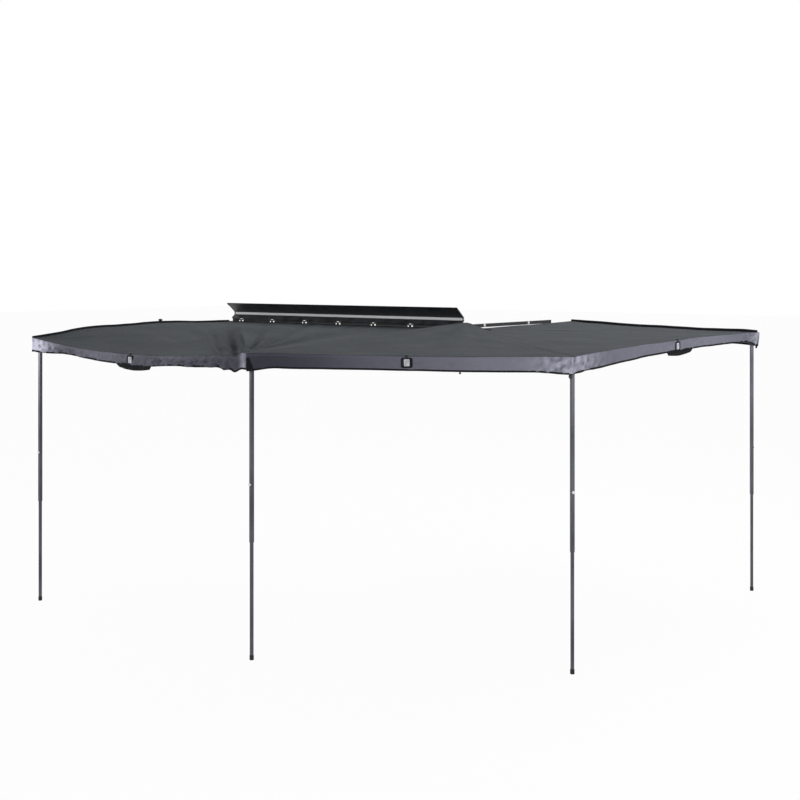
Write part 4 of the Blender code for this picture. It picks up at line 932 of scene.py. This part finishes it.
@dataclass
class Canopy:
    """The cloth: four roof panels, their valances, seam bands, hem bindings and sewn-on fittings."""

    finishes: Finishes
    folding: dict[str, Folding]
    shape: CanopyShape = field(default_factory=CanopyShape)
    cloth: float = 0.0008
    front_grid: tuple[int, int] = (110, 140)
    fan_grid: tuple[int, int] = (52, 56)
    fan_start: float = 0.006
    fan_run: float = 0.994
    patch_size: tuple[float, float] = (0.070, 0.062)
    label_size: tuple[float, float] = (0.034, 0.042)
    patch_drop: float = 0.038
    toggle_profile: tuple[tuple[float, float], ...] = (
        (0.0060, -0.006), (0.0070, 0.001), (0.0105, 0.004), (0.0112, 0.007), (0.0090, 0.0105),
        (0.0040, 0.012))
    bead_profile: tuple[tuple[float, float], ...] = (
        (0.0015, -0.014), (0.0050, -0.012), (0.0064, -0.008), (0.0050, -0.004), (0.0022, 0.002))
    flap_width: float = 0.390
    flap_drop: float = 0.046
    cord_radius: float = 0.010
    seam_half_width: float = 0.010
    seam_height: float = 0.0005
    binding_height: float = 0.010
    binding_thickness: float = 0.0026

    def build(self) -> None:
        """Build all the cloth."""
        self.build_roof()
        for edge in self.edges():
            self.build_valance(edge)
        self.build_seams()
        self.build_corner_fittings()
        self.build_track_bead()

    def build_roof(self) -> None:
        """Build the four roof panels, each stretched between two arms."""
        outwards, across = self.front_grid
        front = [[self.shape.front_panel(u / outwards, v / across) for v in range(across + 1)]
                 for u in range(outwards + 1)]
        self.add_roof("front_roof_panel", front, "arm_2", "canopy_front")
        fans = (("side_rear_roof_panel", Corner.SIDE, Corner.REAR_SIDE, "arm_2", (2.26, 1.72),
                 "canopy_side_rear", "arm_3_tube"),
                ("rear_roof_panel", Corner.REAR_SIDE, Corner.REAR, "arm_3", (2.56, 1.76), "canopy_rear",
                 "arm_4_tube"),
                ("inner_roof_panel", Corner.REAR, Corner.INNER, "arm_4", (2.22, 1.28), "canopy_inner",
                 "arm_4_tube"))
        for name, first, second, arm, flat, node, support in fans:
            outwards, across = self.fan_grid
            rows = [[self.shape.fan_panel(first, second, self.fan_start + self.fan_run * u / outwards,
                                          v / across) for v in range(across + 1)]
                    for u in range(outwards + 1)]
            self.add_roof(name, rows, arm, node)

    def add_roof(self, name: str, rows: Rows, arm: str, node: str) -> None:
        """Add one roof panel in place of its plain solid.

        Args:
            name: Piece name.
            rows: Points of the panel, from the case or hub outwards.
            arm: Body that carries it.
            node: The plain solid that it stands for.
        """
        panel = cloth_piece(name, rows, self.finishes.canvas, UP, self.cloth, -1)
        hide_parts(node)
        self.folding[arm].carry(panel)
        LOG.info("%s: %.2f square metres", name, cloth_area(panel))

    def edges(self) -> list[Edge]:
        """The five edges that carry a valance."""
        shape = self.shape

        def fan(first: Corner, second: Corner) -> Callable[[float], Vector]:
            """Top of a fan panel's outer edge."""
            return lambda v: shape.fan_panel(first, second, 1.0, v)

        def front_top(v: float) -> Vector:
            """Top of the front edge, just under the roof panel's own edge."""
            point = shape.front_edge(v)
            point.z += shape.ridge(point.x, point.y) + shape.gathers(point.x, point.y) * min(1.0, 8.0 * v)
            return point

        # The pale spots of each valance are painted light, for light shining through the cloth.
        return [
            Edge("side_valance", lambda v: shape.front_panel(1.0, v), outward_of(Corner.FRONT, Corner.SIDE),
                 self.folding["arm_2"], columns=180,
                 drops=((0.0, 0.094), (0.22, 0.058), (0.44, 0.070), (0.56, 0.074), (0.70, 0.064),
                        (0.82, 0.072), (1.0, 0.100)),
                 crumples=((0.02, 0.20, 0.024), (0.80, 0.20, 0.022), (0.5, 0.3, 0.008)),
                 painted_light_spots=((0.0, 0.07, 1.5), (0.12, 0.04, 0.16), (0.36, 0.16, 0.16), (0.72, 0.16, 0.10),
                             (0.988, 0.012, 0.50))),
            Edge("side_rear_valance", fan(Corner.SIDE, Corner.REAR_SIDE),
                 outward_of(Corner.SIDE, Corner.REAR_SIDE), self.folding["arm_2"], columns=140,
                 drops=((0.0, 0.108), (0.10, 0.092), (0.5, 0.086), (0.88, 0.092), (1.0, 0.104)),
                 tucks=(0.0, 0.016), crumples=((0.0, 0.08, 0.012), (1.0, 0.09, 0.016), (0.5, 0.4, 0.002)),
                 painted_light_spots=((0.50, 0.24, 0.16), (0.80, 0.20, 0.24), (1.0, 0.12, 0.42))),
            Edge("rear_valance", fan(Corner.REAR_SIDE, Corner.REAR),
                 outward_of(Corner.REAR_SIDE, Corner.REAR), self.folding["arm_3"], columns=140,
                 drops=((0.0, 0.104), (0.06, 0.096), (0.5, 0.070), (0.90, 0.064), (1.0, 0.100)),
                 tucks=(0.026, 0.022), crumples=((0.02, 0.10, 0.016), (0.97, 0.08, 0.010), (0.5, 0.4, 0.003)),
                 painted_light_spots=((0.0, 0.10, 0.40), (0.30, 0.30, 0.20), (0.75, 0.30, 0.26), (1.0, 0.05, 0.50))),
            Edge("inner_valance", fan(Corner.REAR, Corner.INNER), outward_of(Corner.REAR, Corner.INNER),
                 self.folding["arm_4"], tucks=(0.020, 0.0), crumples=((0.5, 0.6, 0.003),),
                 painted_light_spots=((0.0, 0.10, 0.30),)),
            Edge("front_valance", front_top, Vector((-1.0, 0.0, 0.0)), self.folding["arm_2"],
                 start=shape.front_valance_start, crumples=((0.9, 0.2, 0.008), (0.4, 0.4, 0.003)),
                 painted_light_spots=((1.0, 0.10, 0.50),)),
        ]

    def build_valance(self, edge: Edge) -> None:
        """Build one valance with its hem binding and, on the outer edges, its patch, toggle and flap."""
        rows, pale = edge.rows()
        strip = cloth_piece(edge.name, rows, self.finishes.valance, edge.outward, self.cloth, 0, pale)
        if edge.name == "front_valance":
            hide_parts("valance_front")
        extras = [self.hem_binding(edge)]
        if edge.name in ("side_valance", "side_rear_valance", "rear_valance"):
            extras += self.edge_patch(edge, 0.5)
        elif edge.name == "front_valance":
            extras.append(self.toggle(edge, 0.39, self.cord_radius + 0.003, 1.5))
        if edge.name in ("side_valance", "rear_valance"):
            extras.append(self.spreader_flap(edge, 0.515))
        elif edge.name == "side_rear_valance":
            extras.append(self.hem_bead(edge, 0.662))
        if edge.name in ("front_valance", "inner_valance"):
            extras.append(self.edge_cord(edge))
        edge.folding.carry(strip)
        for piece in extras:
            edge.folding.carry(piece)

    def hem_binding(self, edge: Edge) -> bpy.types.Object:
        """Fold a dark binding round the hem of a valance."""
        path = [edge.hang(edge.start + (1 - edge.start) * step / 110, 1.0) - edge.outward * self.cloth / 2
                for step in range(111)]
        half, height = self.binding_thickness / 2, self.binding_height
        section = [(-half, 0.0), (-half * 0.6, -0.001), (half * 0.6, -0.001), (half, 0.0), (half, height),
                   (half * 0.5, height + 0.0006), (-half * 0.5, height + 0.0006), (-half, height)]
        binding = swept_piece(edge.name + "_binding", path, section, UP, self.finishes.webbing)
        return binding

    def toggle(self, edge: Edge, v: float, lift: float = 0.0, scale: float = 1.0) -> bpy.types.Object:
        """Set a small moulded toggle on the seam.

        Args:
            edge: Edge that carries it.
            v: Share of the way along the edge.
            lift: How far above the seam it stands.
            scale: Size beside the small toggles.

        Returns:
            The toggle.
        """
        profile = [(radius * scale, height * scale) for radius, height in self.toggle_profile]
        piece = turned_piece("%s_toggle" % edge.name, profile, edge.top(v) + UP * lift, UP,
                             self.finishes.nylon)
        return piece

    def hem_bead(self, edge: Edge, v: float) -> bpy.types.Object:
        """Hang a small moulded bead from the hem, for a tie-down cord."""
        piece = turned_piece("%s_bead" % edge.name, self.bead_profile, edge.hang(v, 1.0), UP,
                             self.finishes.nylon)
        return piece

    def edge_cord(self, edge: Edge) -> bpy.types.Object:
        """Bind a thick dark cord pocket onto the roof's edge above a far valance."""
        radius = self.cord_radius * (1.0 if edge.name == "front_valance" else 1.35)
        path = []
        for step in range(121):
            v = 0.012 + 0.985 * step / 120
            fade = min(1.0, 10.0 * v + 0.4, 10.0 * (1.0 - v) + 0.4)
            path.append(edge.top(v) + UP * radius * 0.45 * fade)
        section = [(radius * 0.8 * math.cos(math.tau * step / 12), radius * math.sin(math.tau * step / 12))
                   for step in range(12)]
        cord = swept_piece(edge.name + "_cord_pocket", path, section, UP, self.finishes.webbing)
        return cord

    def edge_patch(self, edge: Edge, v: float) -> list[bpy.types.Object]:
        """Sew a black patch with a blank pale middle on a valance, with a toggle on the seam above it."""
        right = (edge.top(v + 0.02) - edge.top(v - 0.02)).normalized()
        if right.cross(UP).dot(edge.outward) < 0.0:
            right = -right
        out = right.cross(UP).normalized()
        centre = edge.hang(v, self.patch_drop / edge.length(v)) + out * 0.0004
        patch = plate_piece(edge.name + "_patch", centre, right, UP, self.patch_size, 0.012, 0.0026,
                            self.finishes.webbing)
        label = plate_piece(edge.name + "_patch_middle", centre + out * 0.0026, right, UP, self.label_size,
                            0.004, 0.0009, self.finishes.label)
        return [patch, label, self.toggle(edge, v)]

    def spreader_flap(self, edge: Edge, v: float) -> bpy.types.Object:
        """Hang the narrow dark flap of the spreader pocket just below the hem."""
        run = (edge.top(1.0) - edge.top(0.0)).length
        half = self.flap_width / 2 / run
        rows: Rows = []
        for level in range(4):
            share = level / 3
            narrow = 1.0 - 0.22 * share
            row = []
            for step in range(13):
                along = v + half * narrow * (step / 6 - 1.0)
                point = edge.hang(along, 1.0) - edge.outward * 0.006
                belly = math.sin(math.pi * step / 12)
                point -= UP * (self.flap_drop * share * (0.75 + 0.25 * belly) - 0.012)
                row.append(point + edge.outward * 0.004 * math.sin(math.pi * share))
            rows.append(row)
        piece = cloth_piece(edge.name + "_spreader_flap", rows, self.finishes.webbing, edge.outward, 0.002, 0)
        return piece

    def build_seams(self) -> None:
        """Raise a felled seam band over each arm's line."""
        half, height = self.seam_half_width, self.seam_height
        section = [(-half, -0.0008), (half, -0.0008), (half * 0.96, height * 0.6), (half * 0.5, height),
                   (-half * 0.5, height), (-half * 0.96, height * 0.6)]
        for name, corner, arm in (("side_seam", Corner.SIDE, "arm_2"),
                                  ("rear_side_seam", Corner.REAR_SIDE, "arm_3"),
                                  ("rear_seam", Corner.REAR, "arm_4")):
            hub = Vector(self.shape.hub)
            path = []
            for step in range(61):
                u = 0.015 + 0.983 * step / 60
                point = hub.lerp(corner.point, u)
                point.z += self.shape.ridge(point.x, point.y)
                point.z += self.shape.gathers(point.x, point.y) * min(1.0, 5.0 * u)
                path.append(point)
            seam = swept_piece(name, path, section, UP, self.finishes.canvas)
            layer = seam.data.uv_layers.new(name="metres")
            for loop in seam.data.loops:
                ring, place = divmod(loop.vertex_index, len(section))
                layer.data[loop.index].uv = (ring / 60 * 2.2, 0.006 + section[place][0] * 0.4)
            self.folding[arm].carry(seam)

    def build_corner_fittings(self) -> None:
        """Add the side corner's gusset, the rear side corner's ball and the rear corner's tab."""
        by_name = {edge.name: edge for edge in self.edges()}
        side, rear = by_name["side_rear_valance"], by_name["rear_valance"]
        ball = turned_piece("rear_side_corner_ball", [(0.003, -0.024), (0.0095, -0.020), (0.0125, -0.012),
                                                      (0.0115, -0.004), (0.007, 0.002), (0.004, 0.006)],
                            rear.hang(0.004, 1.0) - UP * 0.002, UP, self.finishes.nylon)
        tab_top = rear.hang(0.992, 1.0) + rear.outward * 0.002
        along = Vector((rear.outward.y, -rear.outward.x, 0.0)) * -1.0
        tab = plate_piece("rear_corner_tab", tab_top, along, UP, (0.028, 0.036), 0.006, 0.003,
                          self.finishes.webbing)
        for piece in (ball, tab):
            rear.folding.carry(piece)
        rows: Rows = []
        run = (side.top(1.0) - side.top(0.0)).length
        for level in range(7):
            taper = 0.35 + 0.65 * level / 6
            rows.append([side.hang(0.050 * taper * step / 8 / run, 0.25 + 0.75 * level / 6)
                         + side.outward * 0.0012 for step in range(9)])
        gusset = cloth_piece("side_corner_gusset", rows, self.finishes.webbing, side.outward, 0.0012, 0)
        side.folding.carry(gusset)

    def build_track_bead(self) -> None:
        """Show the corded bead that holds the cloth in the case's track."""
        path = [self.shape.case_edge(step / 90) + Vector((0.0, -0.0020, 0.0016)) for step in range(88)]
        section = [(0.0020 * math.cos(math.tau * step / 8), 0.0020 * math.sin(math.tau * step / 8))
                   for step in range(8)]
        bead = swept_piece("track_bead", path, section, UP, self.finishes.webbing)
        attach(bead, "case")


def outward_of(first: Corner, second: Corner) -> Vector:
    """Level direction square to the line between two corners, away from the hub."""
    run = second.point - first.point
    outward = Vector((run.y, -run.x, 0.0)).normalized()
    middle = (first.point + second.point) / 2 - Vector(CanopyShape().hub)
    return outward if outward.dot(middle) > 0.0 else -outward


@dataclass
class Hardware:
    """The case, lid, hub, arms and legs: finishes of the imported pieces, and small trim on them."""

    finishes: Finishes
    nodes: dict[str, bpy.types.Object]
    stud_places: tuple[float, float] = (0.191, 0.825)
    stud_face_x: float = 1.3018
    stud_z: float = 0.0595
    lid_section: tuple[tuple[float, float], ...] = (
        (-0.0022, 0.0652), (0.0292, 0.0964), (0.0292, 0.1216), (-0.0592, 0.1962))
    lid_end_x: float = 1.2244
    rim_width: float = 0.0034
    lip_pieces: tuple[tuple[float, float], ...] = (
        (-1.216, -1.135), (-1.085, -0.765), (-0.715, -0.395), (-0.345, -0.025), (0.025, 0.345),
        (0.395, 0.715), (0.765, 1.085), (1.135, 1.216))
    # It stands just clear of the hinge barrels and closes the gap below the lid.
    lip_section: tuple[tuple[float, float], ...] = (
        (-0.0022, 0.0405), (-0.0036, 0.0405), (-0.0036, 0.0610), (-0.0062, 0.0650), (-0.0052, 0.0660),
        (-0.0022, 0.0620))

    def build(self) -> None:
        """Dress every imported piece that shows, and add the trim."""
        for name, node in self.nodes.items():
            node.data.materials.clear()
            node.data.materials.append(self.finish_for(name))
        self.build_studs()
        self.build_lid_edges()
        self.build_drip_lip()
        LOG.info("hardware: %d packed pieces dressed", len(self.nodes))

    def finish_for(self, name: str) -> bpy.types.Material:
        """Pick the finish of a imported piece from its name."""
        kinds = (("rear_arm_tube", self.finishes.powder_coat), ("knob", self.finishes.machined),
                 ("foot", self.finishes.rubber), ("seal", self.finishes.rubber),
                 ("stripe", self.finishes.trim), ("pin", self.finishes.zinc),
                 ("latch_lever", self.finishes.zinc), ("tube", self.finishes.tube),
                 ("root", self.finishes.nylon), ("clevis", self.finishes.nylon),
                 ("head", self.finishes.nylon), ("cap", self.finishes.nylon),
                 ("spacer", self.finishes.nylon), ("canopy", self.finishes.canvas),
                 ("valance", self.finishes.valance))
        for part, finish in kinds:
            if part in name:
                return finish
        return self.finishes.powder_coat

    def build_studs(self) -> None:
        """Cap the two studs of the rear arm in white nylon, and show its grey root screw."""
        profile = [(0.0136, 0.0), (0.0138, 0.0012), (0.0134, 0.0036), (0.0112, 0.0052), (0.0060, 0.0058),
                   (0.0020, 0.0059)]
        for number, place in enumerate(self.stud_places):
            cap = turned_piece("rear_arm_stud_cap_%d" % (number + 1), profile,
                               Vector((self.stud_face_x, place, self.stud_z)), Vector((1.0, 0.0, 0.0)),
                               self.finishes.white_nylon)
            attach(cap, "rear_arm")
        screw = turned_piece("rear_arm_root_screw", [(0.0058, 0.0), (0.0058, 0.0018), (0.0044, 0.0030),
                                                     (0.0018, 0.0033)],
                             Vector((self.stud_face_x, -0.004, self.stud_z - 0.002)), Vector((1.0, 0.0, 0.0)),
                             self.finishes.zinc)
        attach(screw, "rear_arm")

    def build_lid_edges(self) -> None:
        """Show the bare metal edge of the lid's end rims, which follows the folded section."""
        for name, x in (("lid_edge_rear", self.lid_end_x), ("lid_edge_front", -self.lid_end_x)):
            path = [Vector((x, y, z)) for y, z in self.lid_section]
            half = self.rim_width / 2
            section = [(-half, -half), (half, -half), (half, half), (-half, half)]
            edge = swept_piece(name, path, section, Vector((1.0, 0.0, 0.0)), self.finishes.machined)
            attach(edge, "lid")

    def build_drip_lip(self) -> None:
        """Stand a folded drip lip on the back panel, in pieces between the hinges."""
        vertices: list[Vector] = []
        faces: list[tuple[int, ...]] = []
        count = len(self.lip_section)
        for low, high in self.lip_pieces:
            base = len(vertices)
            vertices += [Vector((x, y, z)) for x in (low, high) for y, z in self.lip_section]
            for place in range(count):
                following = (place + 1) % count
                faces.append((base + place, base + following, base + count + following, base + count + place))
            faces.append(tuple(base + place for place in range(count))[::-1])
            faces.append(tuple(base + count + place for place in range(count)))
        lip = mesh_piece("drip_lip", vertices, faces, self.finishes.powder_coat)
        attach(lip, "case")


@dataclass
class Studio:
    """White paper floor, soft light and the camera."""

    finishes: Finishes
    floor_size: float = 120.0
    camera_place: Point = (6.393, -7.410, 0.443)
    camera_looks: Point = (-0.6135, 0.7898, 0.0)
    lens_mm: float = 54.0
    shift_down: float = -0.15625
    # How bright the sky lights matt surfaces. The camera and glossy ones see it white.
    sky_strength: float = 0.42
    # Name, place, target, width in metres and power in watts.
    lamps: tuple[tuple[str, Point, Point, float, float], ...] = (
        ("soft_box_above", (2.2, 3.2, 5.0), (0.2, -0.9, 0.0), 3.0, 150.0),
        ("soft_box_side", (9.5, -2.0, 1.2), (1.6, -0.6, -0.3), 3.0, 205.0),
        ("soft_box_corner", (-2.9, -4.9, 0.2), (-0.9, -2.2, -0.05), 1.0, 62.0))

    def build(self) -> None:
        """Build the floor, the lights and the camera."""
        half = self.floor_size / 2
        corners = [Vector((x * half, y * half, GROUND_Z - 0.0005)) for x, y in
                   ((-1, -1), (1, -1), (1, 1), (-1, 1))]
        floor = mesh_piece("studio_floor", corners, [(0, 1, 2, 3)], self.finishes.floor, smooth=False)
        self.build_light()
        self.build_camera()

    def build_light(self) -> None:
        """Light the awning from a pale sky, two large soft boxes and a small one at the front corner."""
        scene = bpy.context.scene
        scene.view_settings.view_transform = "Standard"
        world = bpy.data.worlds.new("studio")
        world.use_nodes = True
        tree = world.node_tree
        back = tree.nodes["Background"]
        back.inputs["Color"].default_value = (1.0, 1.0, 1.0, 1.0)
        rays = add_node(tree, "ShaderNodeLightPath")
        seen = add_node(tree, "ShaderNodeMath", {0: rays.outputs["Is Camera Ray"],
                                                 1: rays.outputs["Is Glossy Ray"]}, operation="MAXIMUM")
        strength = add_node(tree, "ShaderNodeMapRange", {"Value": seen.outputs[0],
                                                         "To Min": self.sky_strength, "To Max": 1.0})
        tree.links.new(strength.outputs[0], back.inputs["Strength"])
        scene.world = world
        for name, place, target, size, power in self.lamps:
            data = bpy.data.lights.new(name, "AREA")
            data.size = size
            data.energy = power
            lamp = bpy.data.objects.new(name, data)
            lamp.location = place
            lamp.rotation_mode = "QUATERNION"
            lamp.rotation_quaternion = (Vector(target) - Vector(place)).to_track_quat("-Z", "Y")
            scene.collection.objects.link(lamp)

    def build_camera(self) -> None:
        """Stand the camera level, as in the photograph, with the frame shifted down."""
        data = bpy.data.cameras.new("camera")
        data.lens = self.lens_mm
        data.sensor_width = 36.0
        data.shift_y = self.shift_down
        data.clip_end = 200.0
        camera = bpy.data.objects.new("camera", data)
        camera.location = self.camera_place
        camera.rotation_mode = "QUATERNION"
        camera.rotation_quaternion = Vector(self.camera_looks).to_track_quat("-Z", "Y")
        bpy.context.scene.collection.objects.link(camera)
        bpy.context.scene.camera = camera


def clear_scene() -> None:
    """Remove whatever the opened file holds."""
    for thing in list(bpy.data.objects):
        bpy.data.objects.remove(thing, do_unlink=True)


def main() -> None:
    """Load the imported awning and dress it."""
    logging.basicConfig(level=logging.INFO, format="%(name)s: %(message)s")
    clear_scene()
    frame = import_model()
    finishes = Finishes()
    Hardware(finishes, frame["nodes"]).build()
    Canopy(finishes, foldings(frame["joints"])).build()
    Studio(finishes).build()


if __name__ == "__main__":
    main()
